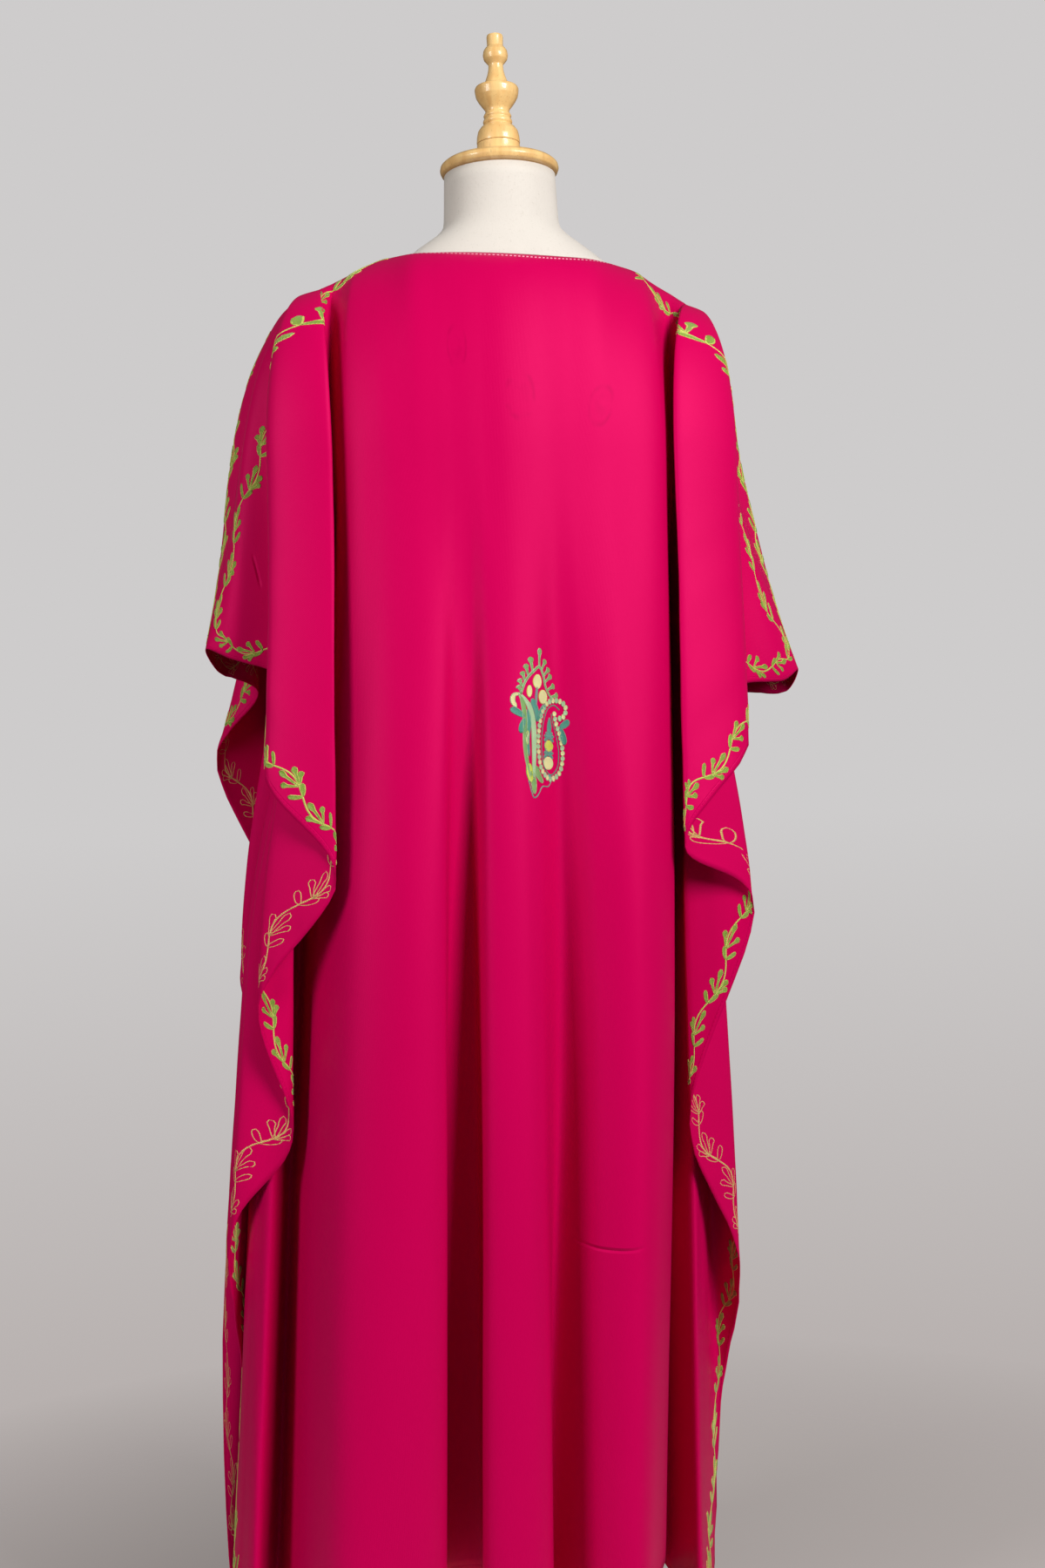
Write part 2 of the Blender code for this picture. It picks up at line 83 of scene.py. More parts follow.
class Val:
    """A shader value that takes Python arithmetic. Each operator adds a Math node."""

    def __init__(self, shader: "Shader", socket: bpy.types.NodeSocket) -> None:
        """Wraps one output socket of a shader."""
        self.shader = shader
        self.socket = socket

    def math(self, operation: str, *others: "Val | float", clamp: bool = False) -> "Val":
        """Adds a Math node.

        Args:
            operation: The node's operation.
            others: The second and third values.
            clamp: True to keep the result between 0 and 1.

        Returns:
            The node's result.
        """
        sockets = dict(enumerate((self, *others)))
        settings = {"operation": operation, "use_clamp": clamp}
        return self.shader.value("ShaderNodeMath", settings, sockets)

    def __add__(self, other: "Val | float") -> "Val":
        """Sum."""
        return self.math("ADD", other)

    __radd__ = __add__

    def __mul__(self, other: "Val | float") -> "Val":
        """Product."""
        return self.math("MULTIPLY", other)

    __rmul__ = __mul__

    def __sub__(self, other: "Val | float") -> "Val":
        """Difference."""
        return self.math("SUBTRACT", other)

    def __rsub__(self, other: float) -> "Val":
        """A number less this value."""
        return self.math("MULTIPLY_ADD", -1.0, other)

    def __truediv__(self, other: float) -> "Val":
        """Quotient."""
        return self.math("DIVIDE", other)

    def __pow__(self, other: float) -> "Val":
        """Power."""
        return self.math("POWER", other)

    def __abs__(self) -> "Val":
        """Size without sign."""
        return self.math("ABSOLUTE")

    def sin(self) -> "Val":
        """Sine."""
        return self.math("SINE")

    def clamp(self) -> "Val":
        """The value kept between 0 and 1."""
        return self.math("ADD", 0.0, clamp=True)

    def near(self, centre: float, reach: float) -> "Val":
        """A mask that is 1 at a centre and falls to 0 at a reach from it."""
        return (1.0 - abs(self - centre) / reach).clamp()

    def between(self, low: float, high: float) -> "Val":
        """A mask that rises from 0 at low to 1 at high."""
        return ((self - low) / (high - low)).clamp()


class Shader:
    """The node tree of one material, built around a Principled shader."""

    def __init__(self, name: str) -> None:
        """Makes the material with its Principled shader."""
        self.material = bpy.data.materials.new(name)
        self.material.use_nodes = True
        self.tree = self.material.node_tree
        self.skin = self.tree.nodes["Principled BSDF"]
        self.end = self.tree.nodes["Material Output"]

    def add(self, kind: str, settings: dict | None = None,
            sockets: dict | None = None) -> bpy.types.Node:
        """Adds any node.

        Args:
            kind: The node's type.
            settings: The node's own properties.
            sockets: Values or links of its inputs, by name or number.

        Returns:
            The node.
        """
        node = self.tree.nodes.new(kind)
        for key, setting in (settings or {}).items():
            setattr(node, key, setting)
        self.feed(node, sockets or {})
        return node

    def feed(self, node: bpy.types.Node, sockets: dict) -> None:
        """Sets or links the inputs of a node."""
        for key, given in sockets.items():
            given = given.socket if isinstance(given, Val) else given
            if isinstance(given, bpy.types.NodeSocket):
                self.tree.links.new(given, node.inputs[key])
            elif isinstance(given, tuple) and node.inputs[key].type == "RGBA":
                node.inputs[key].default_value = (*given, 1.0)
            else:
                node.inputs[key].default_value = given

    def value(self, kind: str, settings: dict | None = None,
              sockets: dict | None = None, out: int = 0) -> Val:
        """Adds a node and wraps one of its outputs."""
        return Val(self, self.add(kind, settings, sockets).outputs[out])

    def flat(self) -> tuple[bpy.types.NodeSocket, Val, Val]:
        """The place on the flat cut: as a vector, across and down."""
        place = self.add("ShaderNodeUVMap", {"uv_map": "flat"}).outputs[0]
        parts = self.add("ShaderNodeSeparateXYZ", None, {0: place})
        return place, Val(self, parts.outputs[0]), Val(self, parts.outputs[1])

    def solid(self, stretch: tuple[float, float, float] = (1, 1, 1)) -> bpy.types.NodeSocket:
        """Object coordinates, stretched along the three axes."""
        place = self.add("ShaderNodeTexCoord").outputs["Object"]
        return self.add("ShaderNodeMapping", None, {"Vector": place, "Scale": stretch}).outputs[0]

    def noise(self, place: bpy.types.NodeSocket, scale: float, detail: float = 2.0,
              rough: float = 0.5) -> Val:
        """Noise from 0 to 1 at a place."""
        return self.value("ShaderNodeTexNoise", None, {
            "Vector": place, "Scale": scale, "Detail": detail, "Roughness": rough})

    def blend(self, share: "Val | float", first: object, second: object) -> bpy.types.NodeSocket:
        """Mixes two colours by a share."""
        return self.add("ShaderNodeMix", {"data_type": "RGBA"},
                        {0: share, 6: first, 7: second}).outputs[2]

    def relief(self, height: Val, depth: float, strength: float = 1.0) -> None:
        """Gives the Principled shader a bump of a depth in metres."""
        bump = self.add("ShaderNodeBump", None, {
            "Height": height, "Distance": depth, "Strength": strength})
        self.feed(self.skin, {"Normal": bump.outputs[0]})


class Thread(Enum):
    """Embroidery threads, each with its screen colour."""

    LIME = (206, 214, 92)
    OLIVE = (136, 166, 42)
    PALE = (222, 182, 104)
    SAGE = (172, 206, 154)
    MOSS = (122, 166, 88)
    TEAL = (62, 148, 126)
    STEEL = (122, 146, 140)
    YELLOW = (206, 214, 62)
    CREAM = (238, 228, 156)


@dataclass(frozen=True)
class ThreadFinish:
    """Rayon embroidery thread laid in chain stitches."""

    thread: Thread
    stitch: float = 0.0016
    ply: float = 0.0008
    roughness: float = 0.42

    def build(self) -> bpy.types.Material:
        """Makes the thread's material from the piece's own stitch map, with painted shade in the
        grooves between the links.
        """
        shader = Shader(f"{self.thread.name.lower()} thread")
        _, run, across = shader.flat()
        links = (run * (FULL_TURN / self.stitch) + abs(across) * 2.4).sin() * 0.5 + 0.5
        plies = (across * 11.0 + run * (FULL_TURN / self.ply)).sin() * 0.5 + 0.5
        tone = shader.noise(shader.solid(), 90.0)
        colour = paint(*self.thread.value)
        # Painted shade: the thread at half its colour, laid into the low grooves between the
        # chain-stitch links.
        dark = tuple(c * 0.50 for c in colour)
        light = tuple(min(c * 1.25 + 0.03, 1.0) for c in colour)
        body = shader.blend(tone, tuple(c * 0.8 for c in colour), light)
        # The base colour darkens towards that painted shade where the links' relief is low.
        shader.feed(shader.skin, {
            "Base Color": shader.blend((1.0 - links) * 0.45, body, dark),
            "Roughness": self.roughness, "Sheen Weight": 0.25, "Sheen Roughness": 0.4})
        shader.relief(links * 0.7 + plies * 0.3, 0.0004, 0.8)
        return shader.material


@dataclass(frozen=True)
class Press:
    """A faint mark pressed into the cloth, placed by its middle on the flat cut."""

    u: float
    v: float
    wide: float
    tall: float

    def mark(self, shader: Shader, across: Val, down: Val) -> Val:
        """Share of the mark at a place on the cloth.

        Args:
            shader: The cloth's shader.
            across: Place across the flat cut.
            down: Place down the flat cut.

        Returns:
            One at the darkest places and zero away from the mark.
        """
        far = (((across - self.u) / self.wide) ** 2.0 + ((down - self.v) / self.tall) ** 2.0)
        ring = far.near(0.75, 0.35) + far.near(0.0, 0.45) * 0.6
        return (ring * shader.noise(shader.solid(), 60.0).between(0.40, 0.62)).clamp()


@dataclass(frozen=True)
class Ridge:
    """A shallow crease drawn in the cloth's relief, from one flat place to another."""

    start: tuple[float, float]
    end: tuple[float, float]
    half: float
    rise: float

    def height(self, across: Val, down: Val) -> Val:
        """Height of the crease at a place on the cloth.

        Args:
            across: Place across the flat cut.
            down: Place down the flat cut.

        Returns:
            The height, in the units of the cloth's relief.
        """
        du, dv = self.end[0] - self.start[0], self.end[1] - self.start[1]
        length = math.hypot(du, dv)
        du, dv = du / length, dv / length
        run = (across - self.start[0]) * du + (down - self.start[1]) * dv
        off = (down - self.start[1]) * du - (across - self.start[0]) * dv
        ends = run.between(0.0, length * 0.3) * (length - run).between(0.0, length * 0.3)
        return off.near(0.0, self.half) * ends * self.rise


@dataclass(frozen=True)
class ClothFinish:
    """Soft satin-faced crepe, with its machine stitching on the right side."""

    name: str
    colour: Colour
    deep: Colour
    sheen: Colour
    roughness: float
    stitched: bool
    presses: tuple[Press, ...] = ()
    ridges: tuple[Ridge, ...] = ()
    rib: float = 0.0011
    stitch: float = 0.0042
    neck_row: float = 0.0060
    neck_fold: float = 0.0080
    edge_row: float = 0.0042
    edge_fold: float = 0.0056

    def build(self) -> bpy.types.Material:
        """Makes the cloth's material from the flat cut's map and edge distances."""
        shader = Shader(self.name)
        place, across, down = shader.flat()
        crepe = shader.noise(place, 1500.0, 3.0, 0.65)
        rib = (across * (FULL_TURN / self.rib)).sin() * 0.5 + 0.5
        slub = shader.noise(self.stretched(shader, place, 60.0, 900.0), 1.0)
        cloud = shader.noise(self.stretched(shader, place, 7.0, 2.2), 1.0, 3.0)
        height = crepe * 0.6 + rib * 0.2 + slub * 0.2
        colour = shader.blend((cloud * 0.5 + crepe * 0.35).clamp(), self.deep, self.colour)
        for press in self.presses:
            colour = shader.blend(press.mark(shader, across, down) * 0.30, colour,
                                  tuple(c * 0.62 for c in self.deep))
        for ridge in self.ridges:
            height = height + ridge.height(across, down)
        if self.stitched:
            colour, height = self.machine_stitches(shader, colour, height, across, down)
        shader.feed(shader.skin, {
            "Base Color": colour, "Roughness": cloud * 0.12 + (self.roughness - 0.06),
            "Specular IOR Level": 0.42, "Specular Tint": self.sheen, "Sheen Weight": 0.06,
            "Sheen Roughness": 0.35, "Sheen Tint": self.sheen})
        shader.relief(height, 0.00022, 0.75)
        return shader.material

    def stretched(self, shader: Shader, place: bpy.types.NodeSocket, across: float,
                  down: float) -> bpy.types.NodeSocket:
        """The flat cut's map with its own scale in each direction."""
        return shader.add("ShaderNodeMapping", None, {
            "Vector": place, "Scale": (across, down, 1.0)}).outputs[0]

    def machine_stitches(self, shader: Shader, colour: bpy.types.NodeSocket, height: Val,
                         across: Val, down: Val) -> tuple[bpy.types.NodeSocket, Val]:
        """Adds the stitched lines beside the neckline, the free edges and the side seams.

        Args:
            shader: The cloth's shader.
            colour: The cloth's colour so far.
            height: The cloth's relief so far.
            across: Place across the flat cut.
            down: Place down the flat cut.

        Returns:
            The new colour and relief.
        """
        neck, edge, seam = (
            shader.value("ShaderNodeAttribute", {"attribute_name": name}, None, 2)
            for name in ("neck_gap", "edge_gap", "seam_gap"))
        ticks, steps = ((place * (FULL_TURN / self.stitch)).sin().between(-0.35, 0.25)
                        for place in (across, down))
        top = neck.near(self.neck_row, 0.0013) * ticks
        rim = edge.near(self.edge_row, 0.0006) * steps
        joint = seam.near(0.0, 0.0008)
        colour = shader.blend((top * 1.3).clamp(), colour, paint(255, 178, 200))
        colour = shader.blend(rim * 0.35 + joint * 0.4, colour, paint(120, 0, 40))
        fold = (neck.near(self.neck_fold, 0.0007)
                + edge.near(self.edge_fold, 0.0007) * 0.7 + joint)
        return colour, height + top * 1.4 + rim * 0.9 - fold * 2.2


@dataclass(frozen=True)
class LinenFinish:
    """Taut cream linen over the dress form."""

    colour: Colour = paint(226, 218, 208)
    pitch: float = 0.0010

    def build(self) -> bpy.types.Material:
        """Makes the linen's material."""
        shader = Shader("cream linen")
        place = shader.solid()
        parts = shader.add("ShaderNodeSeparateXYZ", None, {0: place})
        high = Val(shader, parts.outputs[2])
        warp = shader.noise(shader.solid((1.0, 1.0, 0.05)), 1400.0)
        weft = (high * (FULL_TURN / self.pitch)).sin() * 0.5 + 0.5
        tone = shader.noise(place, 14.0, 4.0, 0.6)
        fleck = shader.noise(place, 420.0, 2.0, 0.7).between(0.58, 0.75)
        colour = shader.blend(tone, tuple(c * 0.86 for c in self.colour), self.colour)
        colour = shader.blend(fleck * 0.22, colour, paint(170, 158, 138))
        shader.feed(shader.skin, {"Base Color": colour, "Roughness": 0.82 - tone * 0.1,
                                  "Sheen Weight": 0.12, "Specular IOR Level": 0.3})
        shader.relief(warp * 0.5 + weft * 0.5 + tone * 0.4, 0.0004, 0.6)
        return shader.material


@dataclass(frozen=True)
class WoodFinish:
    """Honey-coloured turned wood under clear varnish."""

    light: Colour = paint(252, 214, 146)
    dark: Colour = paint(220, 164, 94)
    varnish: float = 0.55

    def build(self) -> bpy.types.Material:
        """Makes the wood's material, with the grain running up the turning."""
        shader = Shader("honey wood")
        grain = shader.noise(shader.solid((1.0, 1.0, 0.06)), 260.0, 4.0, 0.62)
        figure = shader.noise(shader.solid((1.0, 0.6, 0.16)), 26.0, 3.0, 0.55)
        rings = (figure * 46.0).sin() * 0.5 + 0.5
        pores = shader.noise(shader.solid((1.0, 1.0, 0.03)), 900.0).between(0.62, 0.72)
        share = (grain * 0.55 + rings * 0.30 + figure * 0.25).clamp()
        colour = shader.blend(share, self.dark, self.light)
        colour = shader.blend(pores * 0.35, colour, paint(128, 74, 28))
        shader.feed(shader.skin, {
            "Base Color": colour, "Roughness": grain * 0.12 + 0.30,
            "Coat Weight": self.varnish, "Coat Roughness": 0.12})
        shader.relief(grain * 0.6 + pores * -0.8, 0.00025, 0.35)
        return shader.material


@dataclass(frozen=True)
class FloorFinish:
    """Plain pale floor that fades into the backdrop away from the form."""

    colour: Colour = paint(222, 214, 210)
    full: float = 0.15
    gone: float = 1.30

    def build(self) -> bpy.types.Material:
        """Makes the floor's material."""
        shader = Shader("pale floor")
        far = shader.value("ShaderNodeVectorMath", {"operation": "LENGTH"},
                           {0: shader.solid()}, 1)
        tone = shader.noise(shader.solid(), 3.0)
        shader.feed(shader.skin, {
            "Base Color": shader.blend(tone, self.colour, tuple(c * 0.97 for c in self.colour)),
            "Roughness": 0.9})
        clear = shader.add("ShaderNodeBsdfTransparent")
        mix = shader.add("ShaderNodeMixShader", None, {
            0: far.between(self.full, self.gone), 1: shader.skin.outputs[0],
            2: clear.outputs[0]})
        shader.tree.links.new(mix.outputs[0], shader.end.inputs["Surface"])
        return shader.material


class Side(Enum):
    """The garment's two panels; the value is the sign of the way each one faces in y."""

    BACK = 1
    FRONT = -1


@dataclass(frozen=True)
class Fold:
    """One fold line: straight on the flat cloth, and its places where it hangs.

    The places are x and y at chest, hip and hem height. A lip runs beside the seam and
    has x, y off it halfway and x, y, z off it at the end.
    """

    name: str
    start: float
    edge_u: float
    edge_v: float
    places: tuple[float, ...]


BACK_FOLDS = (
    Fold("seam_left", 0.235, WIDE, 0, (.0, .0, .0, .0, .0, 0)),
    Fold("left_lip", 0.231, WIDE, 0.05, (.003, .014, -.022, .012, -.01, 0)),
    Fold("left_tuck", 0.222, WIDE, 0.15, (.242, .034, .238, .03, .238, .03)),
    Fold("left_fold_out", 0.212, WIDE, 0.365, (.252, .07, .272, .104, .272, .104)),
    Fold("left_fold_in", 0.203, WIDE, 0.5, (.192, .096, .203, .126, .203, .126)),
    Fold("left_zig_1", 0.198, WIDE, 0.64, (.2, .071, .276, .08, .276, .08)),
    Fold("left_zag_1", 0.195, WIDE, 0.79, (.198, .067, .244, .064, .256, .058)),
    Fold("left_zig_2", 0.192, WIDE, 0.895, (.196, .063, .284, .047, .342, .036)),
    Fold("left_zag_2", 0.189, WIDE, 1.08, (.1945, .0585, .272, .006, .322, 0)),
    Fold("left_corner", 0.186, WIDE, LONG, (.19, .054, .262, .032, .32, .048)),
    Fold("left_wing_hem", 0.183, 0.488, LONG, (.188, .0485, .25, .042, .304, .076)),
    Fold("side_seam_left", 0.18, SEAM_HEM_U, LONG, (.185, .052, .234, .0, .28, 0)),
    Fold("left_side", 0.16, 0.290, LONG, (.176, .086, .216, .074, .256, .098)),
    Fold("left_ridge_side", 0.135, 0.240, LONG, (.146, .105, .186, .122, .224, .146)),
    Fold("left_ridge", 0.106, 0.198, LONG, (.112, .114, .136, .144, .174, .154)),
    Fold("left_brink", 0.084, 0.158, LONG, (.088, .117, .102, .136, .125, .141)),
    Fold("gap_floor", 0.07, 0.084, LONG, (.074, .1185, .092, .104, .118, .052)),
    Fold("deep_valley", 0.055, 0.049, LONG, (.059, .1205, .067, .098, .073, .042)),
    Fold("middle_brink", 0.04, -0.034, LONG, (.044, .122, .059, .137, .083, .143)),
    Fold("middle_ridge", 0.02, -0.062, LONG, (.022, .124, .027, .144, .051, .153)),
    Fold("middle_lee", 0., -0.088, LONG, (.0, .123, .006, .134, .02, .142)),
    Fold("right_valley", -0.02, -0.152, LONG, (-.022, .12, -.02, .104, .012, .06)),
    Fold("right_rise", -0.042, -0.215, LONG, (-.044, .118, -.052, .127, -.03, .128)),
    Fold("right_ridge", -0.078, -0.247, LONG, (-.082, .114, -.092, .136, -.066, .143)),
    Fold("right_side", -0.135, -0.292, LONG, (-.139, .099, -.134, .1, -.101, .1)),
    Fold("side_seam_right", -0.18, -SEAM_HEM_U, LONG, (-.161, .052, -.148, .0, -.126, 0)),
    Fold("right_wing_hem", -0.183, -0.488, LONG, (-.163, .0545, -.164, .04, -.145, .07)),
    Fold("right_corner", -0.186, -WIDE, LONG, (-.165, .058, -.175, .032, -.159, .044)),
    Fold("right_zag_2", -0.189, -WIDE, 1.12, (-.167, .0615, -.186, .006, -.192, .002)),
    Fold("right_zig_2", -0.192, -WIDE, 0.95, (-.169, .065, -.198, .046, -.208, .044)),
    Fold("right_zag_1", -0.195, -WIDE, 0.785, (-.171, .0685, -.154, .066, -.152, .07)),
    Fold("right_zig_1", -0.198, -WIDE, 0.52, (-.174, .072, -.224, .082, -.224, .082)),
    Fold("right_fold_in", -0.203, -WIDE, 0.475, (-.153, .099, -.143, .122, -.143, .122)),
    Fold("right_fold_out", -0.213, -WIDE, 0.31, (-.222, .076, -.219, .106, -.219, .106)),
    Fold("right_tuck", -0.223, -WIDE, 0.15, (-.224, .036, -.236, .034, -.236, .034)),
    Fold("right_lip", -0.231, -WIDE, 0.05, (.0, .014, .02, .012, -.012, 0)),
    Fold("seam_right", -0.235, -WIDE, 0, (.0, .0, .0, .0, .0, 0)),
)
FRONT_FOLDS = (
    Fold("seam_left", 0.235, WIDE, 0, (.0, .0, .0, .0, .0, 0)),
    Fold("left_lip", 0.231, WIDE, 0.06, (.014, -.02, -.012, -.018, -.022, 0)),
    Fold("left_tuck", 0.226, WIDE, 0.2, (.268, -.05, .266, -.05, .266, -.05)),
    Fold("left_fold_out", 0.221, WIDE, 0.34, (.252, -.074, .352, -.09, .352, -.09)),
    Fold("left_fold_in", 0.216, WIDE, 0.54, (.231, -.092, .264, -.114, .264, -.114)),
    Fold("left_zig_1", 0.212, WIDE, 0.64, (.218, -.076, .292, -.088, .292, -.088)),
    Fold("left_zag_1", 0.208, WIDE, 0.757, (.208, -.069, .25, -.07, .26, -.068)),
    Fold("left_zig_2", 0.205, WIDE, 0.89, (.201, -.063, .286, -.052, .34, -.04)),
    Fold("left_corner", 0.201, WIDE, LONG, (.195, -.06, .262, -.03, .316, -.03)),
    Fold("left_wing_hem", 0.198, 0.488, LONG, (.19, -.057, .25, -.044, .304, -.074)),
    Fold("side_seam_left", 0.18, SEAM_HEM_U, LONG, (.185, -.052, .234, .0, .28, 0)),
    Fold("left_side", 0.172, 0.318, LONG, (.176, -.088, .216, -.072, .254, -.096)),
    Fold("left_ridge", 0.135, 0.225, LONG, (.142, -.124, .176, -.14, .206, -.156)),
    Fold("left_valley", 0.082, 0.112, LONG, (.092, -.144, .108, -.128, .134, -.086)),
    Fold("middle_ridge", 0.036, 0.004, LONG, (.04, -.152, .046, -.16, .066, -.166)),
    Fold("right_valley", -0.012, -0.096, LONG, (-.012, -.152, -.012, -.138, .008, -.09)),
    Fold("right_ridge", -0.068, -0.192, LONG, (-.072, -.146, -.07, -.154, -.05, -.16)),
    Fold("right_side", -0.135, -0.292, LONG, (-.136, -.114, -.13, -.104, -.101, -.102)),
    Fold("side_seam_right", -0.18, -SEAM_HEM_U, LONG, (-.161, -.052, -.148, .0, -.126, 0)),
    Fold("right_wing_hem", -0.198, -0.488, LONG, (-.166, -.06, -.164, -.044, -.147, -.072)),
    Fold("right_corner", -0.201, -WIDE, LONG, (-.171, -.063, -.176, -.032, -.166, -.034)),
    Fold("right_zig_2", -0.205, -WIDE, 0.86, (-.178, -.067, -.202, -.056, -.206, -.05)),
    Fold("right_zag_1", -0.209, -WIDE, 0.7, (-.187, -.068, -.18, -.068, -.18, -.07)),
    Fold("right_zig_1", -0.214, -WIDE, 0.56, (-.198, -.072, -.214, -.082, -.214, -.082)),
    Fold("right_fold_in", -0.219, -WIDE, 0.4, (-.216, -.094, -.18, -.122, -.18, -.122)),
    Fold("right_tuck", -0.226, -WIDE, 0.21, (-.25, -.062, -.244, -.07, -.244, -.07)),
    Fold("right_lip", -0.231, -WIDE, 0.06, (-.024, -.024, .008, -.018, -.022, 0)),
    Fold("seam_right", -0.235, -WIDE, 0, (.0, .0, .0, .0, .0, 0)),
)


def through(a: Vector, b: Vector, c: Vector, d: Vector, t: float) -> Vector:
    """Point of the smooth curve a, b, c, d between b and c, tight where they are close."""
    ab = max(math.sqrt((b - a).length), 0.0001)
    bc = max(math.sqrt((c - b).length), 0.0001)
    cd = max(math.sqrt((d - c).length), 0.0001)
    slope_b = (b - a) / ab - (c - a) / (ab + bc) + (c - b) / bc
    slope_c = (c - b) / bc - (d - b) / (bc + cd) + (d - c) / cd
    u = 1.0 - t
    return (b * ((1.0 + 2.0 * t) * u * u) + c * (t * t * (3.0 - 2.0 * t))
            + slope_b * (bc * t * u * u) - slope_c * (bc * t * t * u))


def catmull(a: float, b: float, c: float, d: float, t: float) -> float:
    """Smooth value between b and c."""
    return 0.5 * (2.0 * b + (c - a) * t + (2.0 * a - 5.0 * b + 4.0 * c - d) * t * t
                  + (3.0 * b - a - 3.0 * c + d) * t * t * t)


def hermite(a: float, b: float, slope_a: float, slope_b: float, t: float) -> float:
    """Value from a to b with the given slopes at the two ends."""
    u = 1.0 - t
    return (a * (1.0 + 2.0 * t) * u * u + b * t * t * (3.0 - 2.0 * t)
            + slope_a * t * u * u - slope_b * t * t * u)


@dataclass
class Drape:
    """How the flat cloth hangs on the form: the same rules as the solids, finer."""

    neck_half: float = 0.135
    shoulder_u: float = 0.235
    seam_top_u: float = 0.180
    seam_gap: float = 0.0008
    seam_half: float = 0.0006
    chest_z: float = 1.280
    hip_z: float = 0.800
    hem_z: float = 0.150
    underarm_z: float = 1.110
    rows: int = 131
    row_power: float = 1.20
    first_row: float = 0.010
    wing_steps: int = 10
    body_steps: int = 10
    bend_steps: int = 48
    hang_steps: int = 72
    spare_steps: int = 18
    seams: dict[bool, tuple[tuple[float, float, float], ...]] = field(default_factory=lambda: {
        True: ((0.135, 0.1265, 1.4925), (0.185, 0.1765, 1.4700), (0.235, 0.2200, 1.4440),
               (0.300, 0.2525, 1.3870), (0.375, 0.2725, 1.3130), (0.480, 0.2920, 1.2080),
               (0.600, 0.3190, 1.0980)),
        False: ((0.135, -0.1405, 1.4820), (0.185, -0.1835, 1.4580), (0.235, -0.2150, 1.4290),
                (0.300, -0.2290, 1.3660), (0.375, -0.2340, 1.2920), (0.480, -0.2600, 1.1900),
                (0.600, -0.3040, 1.0620))})

    def seam_point(self, u: float) -> Vector:
        """Point of the shoulder seam for a place on the flat cloth."""
        table = self.seams[u >= 0.0]
        place = min(max(abs(u), table[0][0]), table[-1][0])
        index = 0
        while index < len(table) - 2 and place > table[index + 1][0]:
            index += 1
        low, high = table[index], table[index + 1]
        before = table[max(index - 1, 0)]
        after = table[min(index + 2, len(table) - 1)]
        t = (place - low[0]) / (high[0] - low[0])
        return Vector((catmull(before[1], low[1], high[1], after[1], t), 0.0,
                       catmull(before[2], low[2], high[2], after[2], t)))

    def start_point(self, u: float, side: Side) -> Vector:
        """Top point of a fold line, on the seam or on the neck opening."""
        if abs(u) >= self.neck_half:
            return self.seam_point(u)
        share = (u / self.neck_half + 1.0) / 2.0
        point = self.seam_point(-self.neck_half).lerp(self.seam_point(self.neck_half), share)
        rise = max(0.0, 1.0 - (u / self.neck_half) ** 2)
        point.y = side.value * (0.0745 if side is Side.BACK else 0.0700) * rise ** 0.62
        point.z -= 0.006 * rise
        return point

    def neck_drop(self, u: float, side: Side) -> float:
        """How far below the shoulder line the neckline is cut."""
        share = min(abs(u) / self.neck_half, 1.0)
        if side is Side.BACK:
            return 0.006 * (1.0 - share * share)
        return 0.150 * (1.0 - share ** 1.6)

    def fold_path(self, fold: Fold, side: Side) -> list[Vector]:
        """Points down one fold line, from the shoulder over the chest to below the hem."""
        start = self.start_point(fold.start, side)
        chest, hip, hem = fold.places[0:2], fold.places[2:4], fold.places[4:6]
        points = []
        for step in range(self.bend_steps + 1):
            turn = math.radians(90.0 * step / self.bend_steps)
            points.append(Vector((
                start.x + (chest[0] - start.x) * math.sin(turn),
                start.y + (chest[1] - start.y) * math.sin(turn),
                self.chest_z + (start.z - self.chest_z) * math.cos(turn))))
        upper = self.chest_z - self.hip_z
        lower = self.hip_z - self.hem_z
        middle = [(hem[i] - chest[i]) / (upper + lower) for i in range(2)]
        last = [(hem[i] - hip[i]) / lower for i in range(2)]
        for step in range(1, self.hang_steps + 1):
            t = step / self.hang_steps
            place = [hermite(chest[i], hip[i], 0.0, middle[i] * upper, t) for i in range(2)]
            points.append(Vector((place[0], place[1], self.chest_z - upper * t)))
        for step in range(1, self.hang_steps + self.spare_steps + 1):
            t = step / self.hang_steps
            if t <= 1.0:
                place = [hermite(hip[i], hem[i], middle[i] * lower, last[i] * lower, t)
                         for i in range(2)]
            else:
                place = [hem[i] + last[i] * lower * (t - 1.0) for i in range(2)]
            points.append(Vector((place[0], place[1], self.hip_z - lower * t)))
        if fold.name.startswith("side_seam"):
            closed = side.value * self.seam_half
            for point in points:
                if point.z < self.chest_z:
                    rise = smooth_step(point.z, self.underarm_z, self.chest_z)
                    point.y = closed + (chest[1] - closed) * rise
        return points

    def share(self, row: int) -> float:
        """Share of a fold line's length at a row, closer together near the shoulder."""
        return (row / (self.rows - 1)) ** self.row_power

    def held(self, share: float) -> float:
        """How freely the cloth hangs there, from 0 on the shoulder seam to 1."""
        solid_row = 1.0 + 13.0 * max(0.0, (share - self.first_row) / 0.99) ** (1.0 / 1.2)
        return min(solid_row / 4.0, 1.0) if share > self.first_row else share * 25.0

    def seam_line(self, sign: float, side: Side) -> list[Vector]:
        """The wing's own top edge, which is the shoulder seam past the bend."""
        lift = Vector((0.0, side.value * self.seam_gap / 2.0, 0.0))
        reach = WIDE - self.shoulder_u
        return [self.seam_point(sign * (self.shoulder_u + reach * self.share(row))) + lift
                for row in range(self.rows)]

